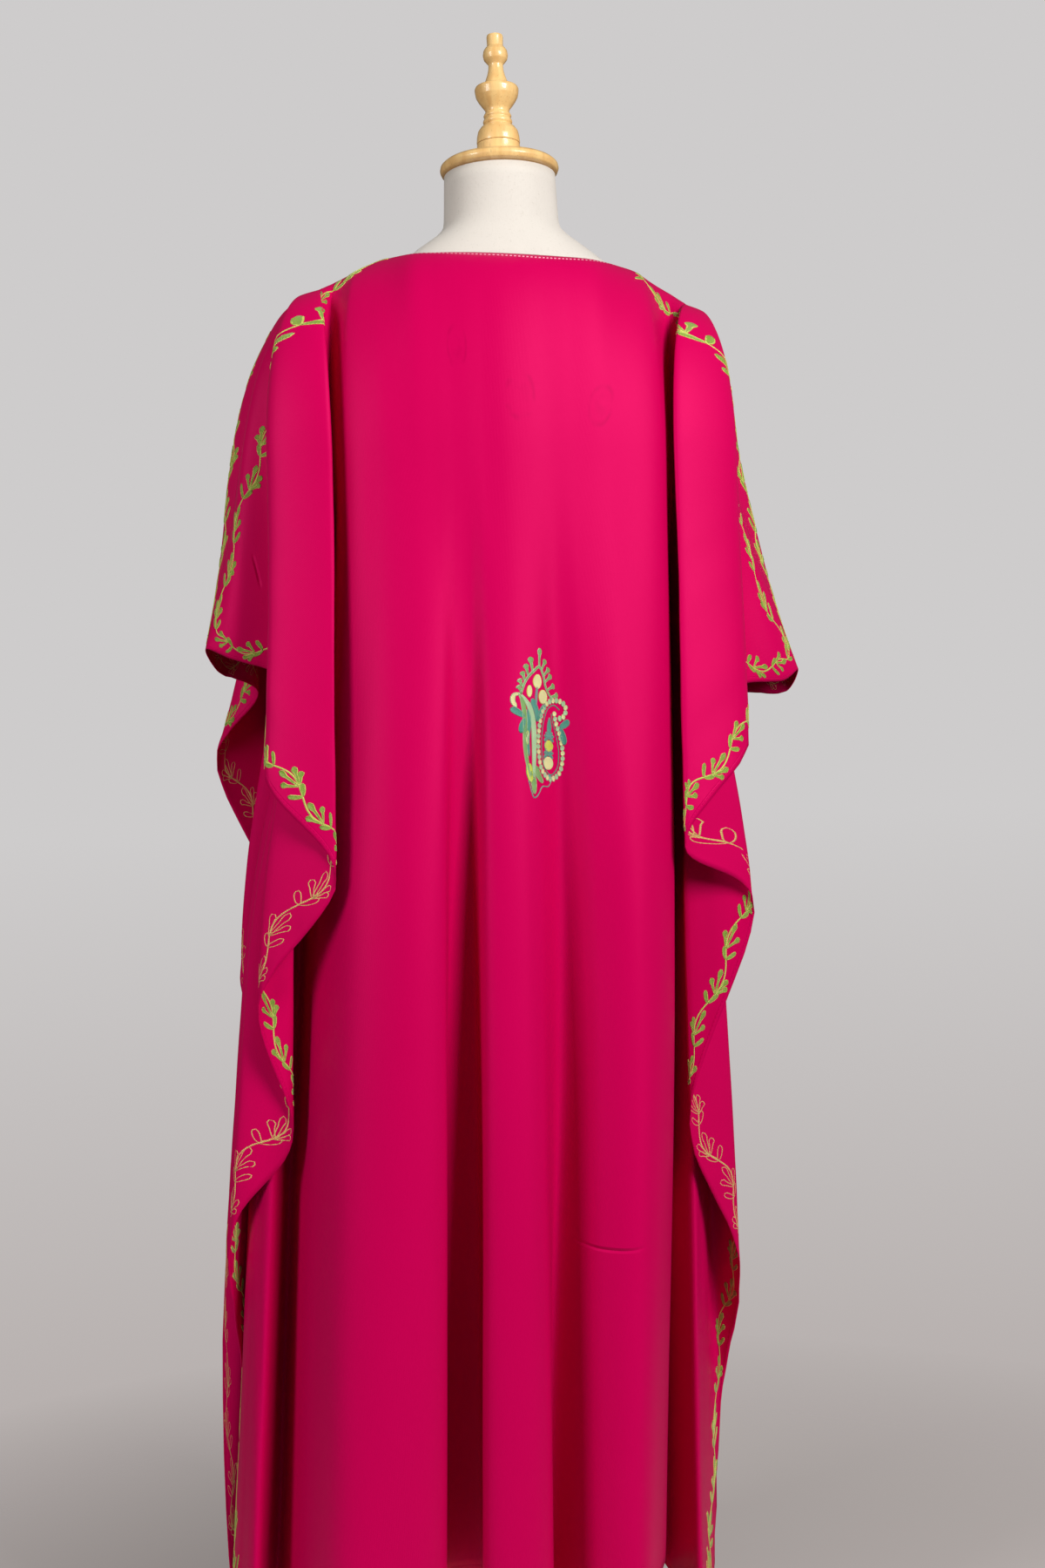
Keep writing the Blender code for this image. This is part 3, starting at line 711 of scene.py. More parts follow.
    def hang(self, fold: Fold, side: Side) -> tuple[list[Vector], list[Vector]]:
        """Hangs one fold line.

        Args:
            fold: The fold line.
            side: The panel it belongs to.

        Returns:
            Its points in place, and the same points on the flat cut.
        """
        sign = 1.0 if fold.start > 0.0 else -1.0
        shares = [self.share(row) for row in range(self.rows)]
        begin = Vector((fold.start, 0.0, 0.0))
        end = Vector((fold.edge_u, fold.edge_v, 0.0))
        lift = Vector((0.0, side.value * self.seam_gap / 2.0, 0.0))
        if fold.name.startswith("seam"):
            return self.seam_line(sign, side), [begin.lerp(end, s) for s in shares]
        if fold.name.endswith("lip"):
            hung = self.seam_line(sign, side)
            first = self.seam_point(fold.start) + lift - hung[0]
            middle, last = Vector((*fold.places[:2], 0.0)), Vector(fold.places[2:5])
            for point, s in zip(hung, shares):
                point += first * (1.0 - s) ** 3
                point += middle * (4.0 * s * (1.0 - s)) ** 0.7 + last * (s * s)
            return hung, [begin.lerp(end, s) for s in shares]
        drop = self.neck_drop(fold.start, side)
        length = (end - begin).length
        path = self.fold_path(fold, side)
        marks = [0.0]
        for a, b in zip(path, path[1:]):
            marks.append(marks[-1] + (b - a).length)
        hung, cut = [], []
        for s in shares:
            reach = drop + (length - drop) * s
            index = min(bisect_right(marks, reach), len(marks) - 1) - 1
            step = (reach - marks[index]) / (marks[index + 1] - marks[index])
            hung.append(path[index].lerp(path[index + 1], step))
            cut.append(begin.lerp(end, reach / length))
        if abs(fold.start) >= self.neck_half:
            hung[0] = hung[0] + lift
        return hung, cut


@dataclass
class Panel:
    """One cut panel of the kaftan, hung as a thin sheet."""

    name: str
    side: Side
    folds: tuple[Fold, ...]
    others: tuple[Fold, ...]
    drape: Drape
    cloth: float = 0.0008
    seam_from: float = 0.40
    ripple: float = 0.0016
    pucker: float = 0.0022
    neck_turn: float = 0.0004
    seed: float = 3.7

    def __post_init__(self) -> None:
        """Prepares what the embroidery needs once the panel is hung."""
        self.cut: list[Vector] = []
        self.hung: list[Vector] = []
        self.facing: list[Vector] = []
        self.corners: list[tuple[int, int, int]] = []
        self.finder: BVHTree | None = None

    def columns(self) -> tuple[list[list[Vector]], list[list[Vector]], list[bool]]:
        """All columns of the panel, in place and on the flat cut, and which start at the neck."""
        drape = self.drape
        lines = [drape.hang(fold, self.side) for fold in self.folds]
        across = Side(-self.side.value)
        before = drape.hang(self.others[1], across)
        after = drape.hang(self.others[-2], across)
        chain = [before[0]] + [line[0] for line in lines] + [after[0]]
        held = [drape.held(drape.share(row)) for row in range(drape.rows)]
        hung, cut, neck = [], [], []
        for index in range(len(lines) - 1):
            a, b, c, d = chain[index:index + 4]
            low, high = lines[index][1], lines[index + 1][1]
            starts = abs(self.folds[index].start), abs(self.folds[index + 1].start)
            steps = drape.body_steps if max(starts) <= drape.seam_top_u else drape.wing_steps
            on_seam = min(starts) >= drape.neck_half
            for step in range(steps):
                t = step / steps
                column = []
                for row in range(drape.rows):
                    point = through(a[row], b[row], c[row], d[row], t)
                    if on_seam and held[row] < 1.0:
                        point = b[row].lerp(c[row], t).lerp(point, held[row])
                    column.append(point)
                hung.append(column)
                cut.append([p.lerp(q, t) for p, q in zip(low, high)])
                neck.append(not on_seam)
        hung.append(lines[-1][0])
        cut.append(lines[-1][1])
        neck.append(False)
        return hung, cut, neck

    def relief(self, u: float, v: float, neck_gap: float, edge_gap: float) -> float:
        """How far the cloth stands out from its fold lines at a place on the flat cut."""
        free = smooth_step(v, 0.10, 0.34)
        wave = noise.noise(Vector((u * 11.0, v * 1.7, self.seed)))
        fine = noise.noise(Vector((u * 34.0, v * 5.5, self.seed + 4.0)))
        height = (wave * self.ripple + fine * self.ripple * 0.35) * free
        pucker = noise.noise(Vector((u * 30.0, v * 42.0, self.seed + 9.0)))
        border = math.exp(-(edge_gap / 0.020) ** 2) * smooth_step(v, 0.02, 0.08)
        height += pucker * self.pucker * border
        height += self.neck_turn * (1.0 - smooth_step(neck_gap, 0.0070, 0.0095))
        return height

    def build(self, right: bpy.types.Material, wrong: bpy.types.Material) -> bpy.types.Object:
        """Cuts the flat sheet, hangs it and gives it its thickness.

        Args:
            right: Material of the cloth's right side.
            wrong: Material of its wrong side.

        Returns:
            The panel.
        """
        hung, cut, neck = self.columns()
        last, rows = len(hung) - 1, self.drape.rows
        work = bmesh.new()
        bmesh.ops.create_grid(work, x_segments=last, y_segments=rows - 1, size=1.0)
        flat_map = work.loops.layers.uv.new("flat")
        gaps = {key: work.verts.layers.float.new(key)
                for key in ("neck_gap", "edge_gap", "seam_gap")}
        places = {}
        work.verts.index_update()
        for vert in work.verts:
            column = round((1.0 - vert.co.x) / 2.0 * last)
            row = round((1.0 - vert.co.y) / 2.0 * (rows - 1))
            u, v = cut[column][row].xy
            neck_gap = (cut[column][row] - cut[column][0]).length if neck[column] else 1.0
            edge_gap = min(WIDE - abs(u), LONG - v)
            vert[gaps["neck_gap"]] = neck_gap
            vert[gaps["edge_gap"]] = edge_gap
            seam_u = self.drape.seam_top_u + (SEAM_HEM_U - self.drape.seam_top_u) * v / LONG
            vert[gaps["seam_gap"]] = abs(u) - seam_u if v > self.seam_from else 1.0
            places[vert.index] = (column, row, neck_gap, edge_gap)
            vert.co = hung[column][row]
        work.verts.ensure_lookup_table()
        for face in work.faces:
            for loop in face.loops:
                column, row = places[loop.vert.index][:2]
                loop[flat_map].uv = cut[column][row].xy
        if self.side is Side.BACK:
            bmesh.ops.reverse_faces(work, faces=work.faces)
        work.normal_update()
        normals = [vert.normal.copy() for vert in work.verts]
        for vert, normal in zip(work.verts, normals):
            column, row, neck_gap, edge_gap = places[vert.index]
            u, v = cut[column][row].xy
            vert.co += normal * self.relief(u, v, neck_gap, edge_gap)
        work.normal_update()
        self.cut = [cut[places[v.index][0]][places[v.index][1]].copy() for v in work.verts]
        self.hung = [vert.co.copy() for vert in work.verts]
        self.facing = [vert.normal.copy() for vert in work.verts]
        for face in work.faces:
            face.smooth = True
            a, b, c, d = (vert.index for vert in face.verts)
            self.corners += [(a, b, c), (a, c, d)]
        self.finder = BVHTree.FromPolygons(self.cut, self.corners)
        piece = finish_piece(self.name, work, (right, wrong))
        wall = piece.modifiers.new("cloth thickness", "SOLIDIFY")
        wall.thickness = self.cloth
        wall.offset = 0.0
        wall.use_quality_normals = True
        wall.material_offset = 1
        return piece

    def lay(self, point: Vector, right_side: bool) -> Vector:
        """The place on the hung cloth of a point drawn on the flat cloth.

        Args:
            point: Its place on the flat cut, with its height above the cloth as z.
            right_side: False for what lies on the wrong side.

        Returns:
            Its place in the frame.
        """
        spot = Vector((point.x, point.y, 0.0))
        found, _, index, _ = self.finder.find_nearest(spot)
        corners = self.corners[index]
        flat = [self.cut[i] for i in corners]
        base = barycentric_transform(found, *flat, *(self.hung[i] for i in corners))
        facing = barycentric_transform(found, *flat, *(self.facing[i] for i in corners))
        lift = self.cloth / 2.0 + point.z
        return base + facing.normalized() * (lift if right_side else -lift)


def finish_piece(name: str, work: bmesh.types.BMesh,
                 materials: Iterable[bpy.types.Material]) -> bpy.types.Object:
    """Makes an object at the origin from a bmesh, which is then freed.

    Args:
        name: The piece's name.
        work: Its mesh.
        materials: Its materials, in slot order.

    Returns:
        The piece, riding on the part's one body.
    """
    mesh = bpy.data.meshes.new(name)
    work.to_mesh(mesh)
    work.free()
    for material in materials:
        mesh.materials.append(material)
    piece = bpy.data.objects.new(name, mesh)
    bpy.context.scene.collection.objects.link(piece)
    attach(piece, "root")
    log.info("%s: %d faces", name, len(mesh.polygons))
    return piece


class Route:
    """A smooth line on the flat cloth, measured along its length."""

    def __init__(self, points: Sequence[Vector]) -> None:
        """Measures the line through the points."""
        self.points = list(points)
        self.marks = [0.0]
        for a, b in zip(self.points, self.points[1:]):
            self.marks.append(self.marks[-1] + (b - a).length)
        self.length = self.marks[-1]

    @classmethod
    def curve(cls, points: Sequence[Vector], steps: int = 6) -> "Route":
        """A smooth line through a few points."""
        ends = [points[0] * 2.0 - points[1], *points, points[-1] * 2.0 - points[-2]]
        fine = [points[0]]
        for i in range(len(points) - 1):
            fine += [through(*ends[i:i + 4], step / steps) for step in range(1, steps + 1)]
        return cls(fine)

    def at(self, distance: float) -> tuple[Vector, Vector]:
        """Point and direction at a distance along the line."""
        index = min(max(bisect_right(self.marks, distance), 1), len(self.marks) - 1) - 1
        a, b = self.points[index], self.points[index + 1]
        share = (distance - self.marks[index]) / (self.marks[index + 1] - self.marks[index])
        return a.lerp(b, share), (b - a).normalized()


class Shape(Enum):
    """Outline of an embroidered patch: its half width along the length, as a share."""

    STEM = ((0.0, 0.85), (0.5, 1.0), (1.0, 0.85))
    LEAF = ((0.0, 0.30), (0.15, 0.75), (0.5, 1.0), (0.85, 0.95), (1.0, 0.35))
    BUD = ((0.0, 0.32), (0.35, 0.44), (0.62, 0.52), (0.78, 0.95), (0.90, 1.0), (1.0, 0.36))
    DISC = ((0.0, 0.30), (0.12, 0.66), (0.3, 0.92), (0.5, 1.0), (0.7, 0.92), (0.88, 0.66),
            (1.0, 0.30))
    BLADE = ((0.0, 0.45), (0.3, 0.85), (0.6, 1.0), (0.85, 0.6), (1.0, 0.10))

    def width(self, share: float) -> float:
        """The half width at a share of the length."""
        for (low, a), (high, b) in zip(self.value, self.value[1:]):
            if share <= high:
                return a + (b - a) * (share - low) / (high - low)
        return self.value[-1][1]


@dataclass
class Needle:
    """Embroiders patches on a flat cloth, and lays them on the hung panel at the end."""

    panel: Panel
    right_side: bool = True
    height: float = 0.0007
    rim: float = 0.0008
    thread: float = 0.0003
    map_across: float = 1000.0

    def __post_init__(self) -> None:
        """Starts an empty mesh with its stitch map."""
        self.work = bmesh.new()
        self.map = self.work.loops.layers.uv.new("flat")
        self.threads: list[Thread] = []

    def slot(self, thread: Thread) -> int:
        """The material slot of a thread."""
        if thread not in self.threads:
            self.threads.append(thread)
        return self.threads.index(thread)

    def patch(self, route: Route, half: float, shape: Shape, rim: Thread,
              fill: Thread | None = None, steps: int = 8) -> None:
        """Works one patch: a padded middle inside an outline of chain stitches.

        Args:
            route: Middle line on the flat cloth.
            half: Largest half width.
            shape: Outline.
            rim: Thread of the outline.
            fill: Thread of the middle, or none for a plain line.
            steps: Steps along the length.
        """
        lanes = 6 if fill else 2
        grid = bmesh.ops.create_grid(self.work, x_segments=steps, y_segments=lanes, size=1.0)
        verts = grid["verts"]
        drawn = {}
        for vert in verts:
            share, across = (vert.co.x + 1.0) / 2.0, vert.co.y
            width = half * shape.width(share)
            inner = max(0.2, 1.0 - self.rim / max(width, 0.0001))
            if fill:
                across = (-1.0, -(1.0 + inner) / 2.0, -inner, 0.0, inner,
                          (1.0 + inner) / 2.0, 1.0)[round((across + 1.0) * 3.0)]
            point, ahead = route.at(share * route.length)
            left = Vector((-ahead.y, ahead.x, 0.0))
            raised = 0.0 if abs(across) > 0.99 else self.height
            if fill and abs(across) <= inner:
                raised *= 0.72
            drawn[vert] = (share * route.length, across * width)
            vert.co = point + left * (across * width)
            vert.co.z = raised - 0.0001
        rim_slot, fill_slot = self.slot(rim), self.slot(fill or rim)
        for face in {face for vert in verts for face in vert.link_faces}:
            face.smooth = True
            middle = sum(abs(drawn[v][1]) for v in face.verts) / 4.0
            along = sum(drawn[v][0] for v in face.verts) / 4.0
            width = half * shape.width(along / route.length)
            at_end = min(along, route.length - along) < self.rim * 0.8
            inside = fill and middle < width - self.rim * 0.75 and not at_end
            face.material_index = fill_slot if inside else rim_slot
            for loop in face.loops:
                run, across = drawn[loop.vert]
                loop[self.map].uv = (run, across * self.map_across)

    def outline(self, route: Route, half: float, shape: Shape, thread: Thread) -> None:
        """Works only the outline of a patch, as the wrong side shows it."""
        around = []
        for sign in (1.0, -1.0):
            shares = [i / 5.0 for i in range(6)]
            for share in shares if sign > 0.0 else reversed(shares):
                point, ahead = route.at(share * route.length)
                left = Vector((-ahead.y, ahead.x, 0.0))
                around.append(point + left * (sign * half * shape.width(share)))
        around.append(around[0])
        self.patch(Route(around), self.rim * 0.45, Shape.STEM, thread, None, 14)

    def leaf(self, base: Vector, turn: float, length: float, half: float, shape: Shape,
             rim: Thread, fill: Thread | None, bend: float = 0.0, steps: int = 8) -> None:
        """Works a patch that grows from a point at a bearing.

        Args:
            base: Its foot on the flat cloth.
            turn: Bearing in degrees, from the cloth's u axis towards its v axis.
            length: Its length.
            half: Its half width.
            shape: Its outline.
            rim: Thread of the outline.
            fill: Thread of the middle.
            bend: Degrees by which it curves along its length.
            steps: Steps along the length.
        """
        points, place = [base.copy()], base.copy()
        for step in range(6):
            way = math.radians(turn + bend * (step / 5.0 - 0.5))
            place = place + Vector((math.cos(way), math.sin(way), 0.0)) * (length / 6.0)
            points.append(place)
        if self.right_side:
            self.patch(Route(points), half, shape, rim, fill, steps)
        else:
            self.outline(Route(points), half, shape, rim)

    def finish(self, name: str) -> bpy.types.Object:
        """Closes the patches, lays them on the hung cloth and makes the piece."""
        bmesh.ops.solidify(self.work, geom=self.work.faces[:],
                            thickness=self.thread)
        for vert in self.work.verts:
            vert.co = self.panel.lay(vert.co, self.right_side)
        if (self.panel.side is Side.BACK) != self.right_side:
            bmesh.ops.reverse_faces(self.work, faces=self.work.faces)
        finishes = [ThreadFinish(thread).build() for thread in self.threads]
        piece = finish_piece(name, self.work, finishes)
        return piece


@dataclass
class Vine:
    """The running vine beside the shoulder seam and down the side edges.

    The tables left and right give its flat places beside the seam on each half. The back
    panel's bow further from the seam, so that the vine shows from behind.
    """

    inset: float = 0.020
    foot: float = 0.016
    repeat: float = 0.0440
    swing: float = 0.0075
    corner: float = 0.014
    bud: float = 0.0265
    bud_half: float = 0.0032
    leaf: float = 0.0145
    leaf_half: float = 0.0025
    stem_half: float = 0.0011
    stem_step: float = 0.004
    stem_part: int = 60
    left: tuple[tuple[float, float], ...] = (
        (0.141, 0.013), (0.185, 0.020), (0.300, 0.024), (0.540, 0.021))
    right: tuple[tuple[float, float], ...] = (
        (0.141, 0.013), (0.185, 0.020), (0.300, 0.024), (0.540, 0.021))
    seed: int = 11

    def route(self, sign: float) -> Route:
        """The vine's middle line on one half of a panel."""
        edge = WIDE - self.inset
        shoulder = self.left if sign > 0.0 else self.right
        points = list(Route.curve([Vector((u, v, 0.0)) for u, v in shoulder]).points)
        for step in range(9):
            turn = math.radians(90.0 * step / 8.0)
            points.append(Vector((edge - self.corner * (1.0 - math.sin(turn)),
                                  self.inset + self.corner * (1.0 - math.cos(turn)), 0.0)))
        points.append(Vector((edge, LONG - self.foot, 0.0)))
        for point in points:
            point.x *= sign
        return Route(points)

    def work(self, needle: Needle) -> None:
        """Works the stem, the buds and the leaf pairs on both halves of a panel."""
        for sign in (1.0, -1.0):
            self.work_half(needle, sign, random.Random(self.seed + int(sign)))

    def work_half(self, needle: Needle, sign: float, chance: random.Random) -> None:
        """Works the vine on one half of a panel."""
        route = self.route(sign)
        rim = Thread.LIME if needle.right_side else Thread.PALE
        fill = Thread.OLIVE if needle.right_side else None
        count = int(route.length / self.repeat)
        repeat = route.length / count

        def place(run: float) -> tuple[Vector, float]:
            """Point of the waving stem at a distance, and the bearing of the route."""
            point, ahead = route.at(run)
            off = sign * self.swing * math.sin(math.pi * run / repeat)
            left = Vector((-ahead.y, ahead.x, 0.0))
            return point + left * off, math.degrees(math.atan2(ahead.y, ahead.x))

        stem = [place(i * self.stem_step)[0]
                for i in range(int(route.length / self.stem_step))]
        for part in range(0, len(stem) - 1, self.stem_part):
            piece = stem[part:part + self.stem_part + 1]
            if len(piece) > 2:
                needle.patch(Route(piece), self.stem_half, Shape.STEM, rim, None,
                             len(piece) - 1)
        for index in range(count):
            lean = sign * (1.0 if index % 2 else -1.0)
            base, ahead = place((index + 0.80) * repeat)
            back = ahead + 180.0
            buds = [(-6.0, 1.0), (26.0, 0.74), (-36.0, 0.68)]
            if index % 3 != 1:
                buds.append((48.0, 0.52))
            for turn, size in buds:
                length = self.bud * size * chance.uniform(0.92, 1.06)
                needle.leaf(base, back + lean * turn + chance.uniform(-4.0, 4.0), length,
                            self.bud_half, Shape.BUD, rim, fill, lean * turn * -0.35)
            knot, ahead = place(index * repeat + 0.001)
            for turn in (-38.0, 38.0):
                needle.leaf(knot, ahead + 180.0 + turn + chance.uniform(-5.0, 5.0),
                            self.leaf * chance.uniform(0.9, 1.1), self.leaf_half,
                            Shape.LEAF, rim, fill, -turn * 0.5, 6)


@dataclass
class Paisley:
    """The centre-back motif, drawn in millimetres up from its foot on the flat cloth.

    A scalloped paisley stands beside a sheaf of long leaves under an arch of buds.
    """

    u: float = -0.0300
    v: float = 0.560
    size: float = 0.00091
    wide: float = 0.00134

    def spot(self, x: float, y: float) -> Vector:
        """Flat place of a drawn point; x runs to the viewer's right and y up."""
        return Vector((self.u - x * self.wide, self.v - y * self.size, 0.0))

    def route(self, *points: tuple[float, float]) -> Route:
        """A smooth drawn line."""
        return Route.curve([self.spot(x, y) for x, y in points])

    def grow(self, needle: Needle, x: float, y: float, bearing: float, length: float,
             half: float, shape: Shape, rim: Thread, fill: Thread, bend: float = 0.0) -> None:
        """Works one leaf; the bearing is clockwise from straight up, as the viewer sees it."""
        needle.leaf(self.spot(x, y), -90.0 - bearing, length * self.size, half * self.wide,
                    shape, rim, fill, -bend)

    def work(self, needle: Needle) -> None:
        """Works the whole motif."""
        self.work_stems(needle)
        self.work_sheaf(needle)
        self.work_side_leaves(needle)
        self.work_heart(needle)
        self.work_scallops(needle)
        self.work_arch(needle)

    def work_stems(self, needle: Needle) -> None:
        """The thin stem from the paisley down to the foot."""
        line = self.route((-4.0, 20.0), (-1.0, 8.0), (1.5, 1.5), (6.0, 7.0), (10.0, 14.5),
                          (18.0, 15.5), (21.5, 22.0))
        needle.patch(line, 0.0009, Shape.STEM, Thread.STEEL, None, 24)

    def work_sheaf(self, needle: Needle) -> None:
        """The long leaves at the left, from the foot to the curled tip."""
        for points, half, rim, fill in (
                (((-3.0, 24.0), (-7.5, 52.0), (-8.5, 84.0), (-11.0, 104.0), (-14.5, 113.0)),
                 2.1, Thread.SAGE, Thread.MOSS),
                (((0.5, 22.0), (0.0, 52.0), (-1.5, 82.0), (-5.5, 100.0), (-12.0, 111.0)),
                 2.3, Thread.SAGE, Thread.SAGE),
                (((-13.0, 112.0), (-17.5, 110.0), (-18.0, 103.0), (-15.5, 97.0)),
                 1.7, Thread.SAGE, Thread.CREAM),
                (((-4.0, 46.0), (-6.0, 64.0), (-5.0, 84.0), (-6.5, 96.0)),
                 2.0, Thread.STEEL, Thread.TEAL),
                (((1.5, 84.0), (1.0, 95.0), (-2.0, 104.0), (-3.0, 108.0)),
                 2.6, Thread.STEEL, Thread.TEAL),
                (((1.5, 84.0), (5.0, 92.0), (9.5, 100.0), (11.0, 103.0)),
                 2.6, Thread.STEEL, Thread.TEAL),
                (((0.5, 100.0), (0.5, 110.0), (1.0, 121.0)), 1.4, Thread.STEEL, Thread.STEEL),
                (((1.5, 6.0), (0.5, 18.0), (-2.0, 30.0)), 2.7, Thread.SAGE, Thread.MOSS),
                (((-1.5, 18.0), (-3.5, 28.0), (-4.0, 38.0)), 3.0, Thread.MOSS, Thread.YELLOW),
                (((10.5, 19.0), (5.0, 26.0), (1.5, 36.0)), 2.8, Thread.SAGE, Thread.MOSS),
                (((-6.0, 58.0), (-6.5, 66.0), (-6.0, 73.0)), 1.5, Thread.YELLOW, Thread.CREAM)):
            needle.patch(self.route(*points), half * self.wide, Shape.LEAF, rim, fill, 14)

    def work_side_leaves(self, needle: Needle) -> None:
        """The teal leaf pairs at both sides."""
        for x, y, bearing, length, half, bend in (
                (-9.0, 88.0, -62.0, 17.0, 2.6, 8.0), (-8.5, 86.0, -164.0, 17.0, 2.5, -20.0),
                (28.0, 80.0, 62.0, 16.0, 2.9, -8.0), (29.0, 79.0, 156.0, 19.0, 3.0, 12.0)):
            self.grow(needle, x, y, bearing, length, half, Shape.LEAF, Thread.STEEL,
                      Thread.TEAL, bend)

    def work_heart(self, needle: Needle) -> None:
        """The upright leaf, the discs and their small leaves inside the paisley."""
        self.grow(needle, 16.5, 66.0, 0.0, 24.0, 2.8, Shape.BLADE, Thread.STEEL, Thread.TEAL)
        for y in (67.0, 49.0):
            for bearing in (-72.0, -40.0, 40.0, 72.0, -110.0, 110.0):
                self.grow(needle, 16.5, y, bearing, 9.0, 1.3, Shape.LEAF, Thread.STEEL,
                          Thread.TEAL, bearing * 0.3)
        for x, y, half, rim, fill in ((16.5, 53.0, 5.6, Thread.STEEL, Thread.YELLOW),
                                      (16.5, 33.5, 6.4, Thread.SAGE, Thread.CREAM)):
            self.grow(needle, x, y, 0.0, half * 2.15, half, Shape.DISC, rim, fill)
        self.grow(needle, 19.0, 24.0, 0.0, 5.0, 1.8, Shape.LEAF, Thread.STEEL, Thread.TEAL)

    def work_scallops(self, needle: Needle) -> None:
        """The paisley's own outline: a teal line inside a row of small scallops."""
        line = self.route(
            (26.0, 89.0), (32.5, 93.0), (33.0, 103.0), (24.5, 109.0), (13.5, 105.0),
            (7.0, 92.0), (4.0, 72.0), (4.5, 50.0), (9.0, 32.0), (20.0, 23.5), (30.0, 31.0),
            (32.5, 50.0), (29.0, 70.0), (23.5, 86.0), (21.5, 97.0))
        inner = self.route((27.0, 99.0), (21.0, 103.5), (14.5, 99.0), (10.0, 86.0), (8.0, 68.0),
                           (8.5, 50.0), (12.5, 35.0), (20.5, 28.0), (27.0, 35.0), (28.5, 50.0),
                           (25.0, 70.0), (20.0, 86.0), (18.5, 94.0))
        needle.patch(inner, 0.0008, Shape.STEM, Thread.TEAL, None, 70)
        count = int(line.length / 0.0050)
        for index in range(count):
            point, ahead = line.at((index + 0.5) * line.length / count)
            way = math.degrees(math.atan2(ahead.y, ahead.x)) + 90.0
            foot = point - Vector((math.cos(math.radians(way)), math.sin(math.radians(way)),
                                   0.0)) * 0.0029
            needle.leaf(foot, way, 0.0058, 0.0027, Shape.DISC, Thread.SAGE,
                        Thread.CREAM if index % 2 else Thread.SAGE)

    def work_arch(self, needle: Needle) -> None:
        """The pointed arch of buds over three yellow ovals."""
        arch = self.route((-12.5, 112.0), (-9.0, 126.0), (-3.0, 137.0), (3.0, 143.0),
                          (8.0, 134.0), (11.0, 122.0), (19.0, 109.0))
        needle.patch(arch, 0.0016, Shape.STEM, Thread.SAGE, Thread.MOSS, 30)
        for x, y, bearing, length in (
                (3.0, 142.0, 0.0, 21.0), (-3.0, 136.0, -14.0, 17.0), (-6.5, 131.0, -18.0, 14.0),
                (-9.0, 125.0, -22.0, 12.0), (-11.0, 119.0, -28.0, 10.0), (-12.0, 114.0, -34.0, 8.0),
                (5.5, 139.0, 28.0, 14.0), (8.0, 133.0, 44.0, 13.5), (10.0, 127.0, 50.0, 13.5),
                (13.0, 119.0, 62.0, 13.0), (17.0, 112.0, 76.0, 12.0)):
            self.grow(needle, x, y, bearing, length, 2.5, Shape.BUD, Thread.SAGE, Thread.MOSS)
        for x, y, half, tall in ((1.5, 119.0, 4.6, 15.5), (-5.5, 109.0, 2.4, 13.0),
                                 (8.0, 103.5, 5.2, 15.0)):
            self.grow(needle, x, y, 0.0, tall, half, Shape.DISC, Thread.YELLOW, Thread.CREAM)


@dataclass
class ShoulderSprig:
    """The small teal and green sprig on the front panel's right shoulder."""

    u: float = -0.190
    v: float = 0.020

    def work(self, needle: Needle) -> None:
        """Works the sprig as a fan of leaves with one disc."""
        base = Vector((self.u, self.v + 0.022, 0.0))
        for turn, length in ((-40.0, 0.018), (-12.0, 0.022), (14.0, 0.021), (42.0, 0.017)):
            needle.leaf(base, -90.0 + turn, length, 0.0028, Shape.LEAF, Thread.STEEL,
                        Thread.TEAL, turn * 0.3)
        for turn in (-68.0, 68.0):
            needle.leaf(base, -90.0 + turn, 0.016, 0.0024, Shape.BUD, Thread.SAGE, Thread.MOSS)
        needle.leaf(base + Vector((0.0, 0.001, 0.0)), 90.0, 0.010, 0.0046, Shape.DISC,
                    Thread.YELLOW, Thread.CREAM)


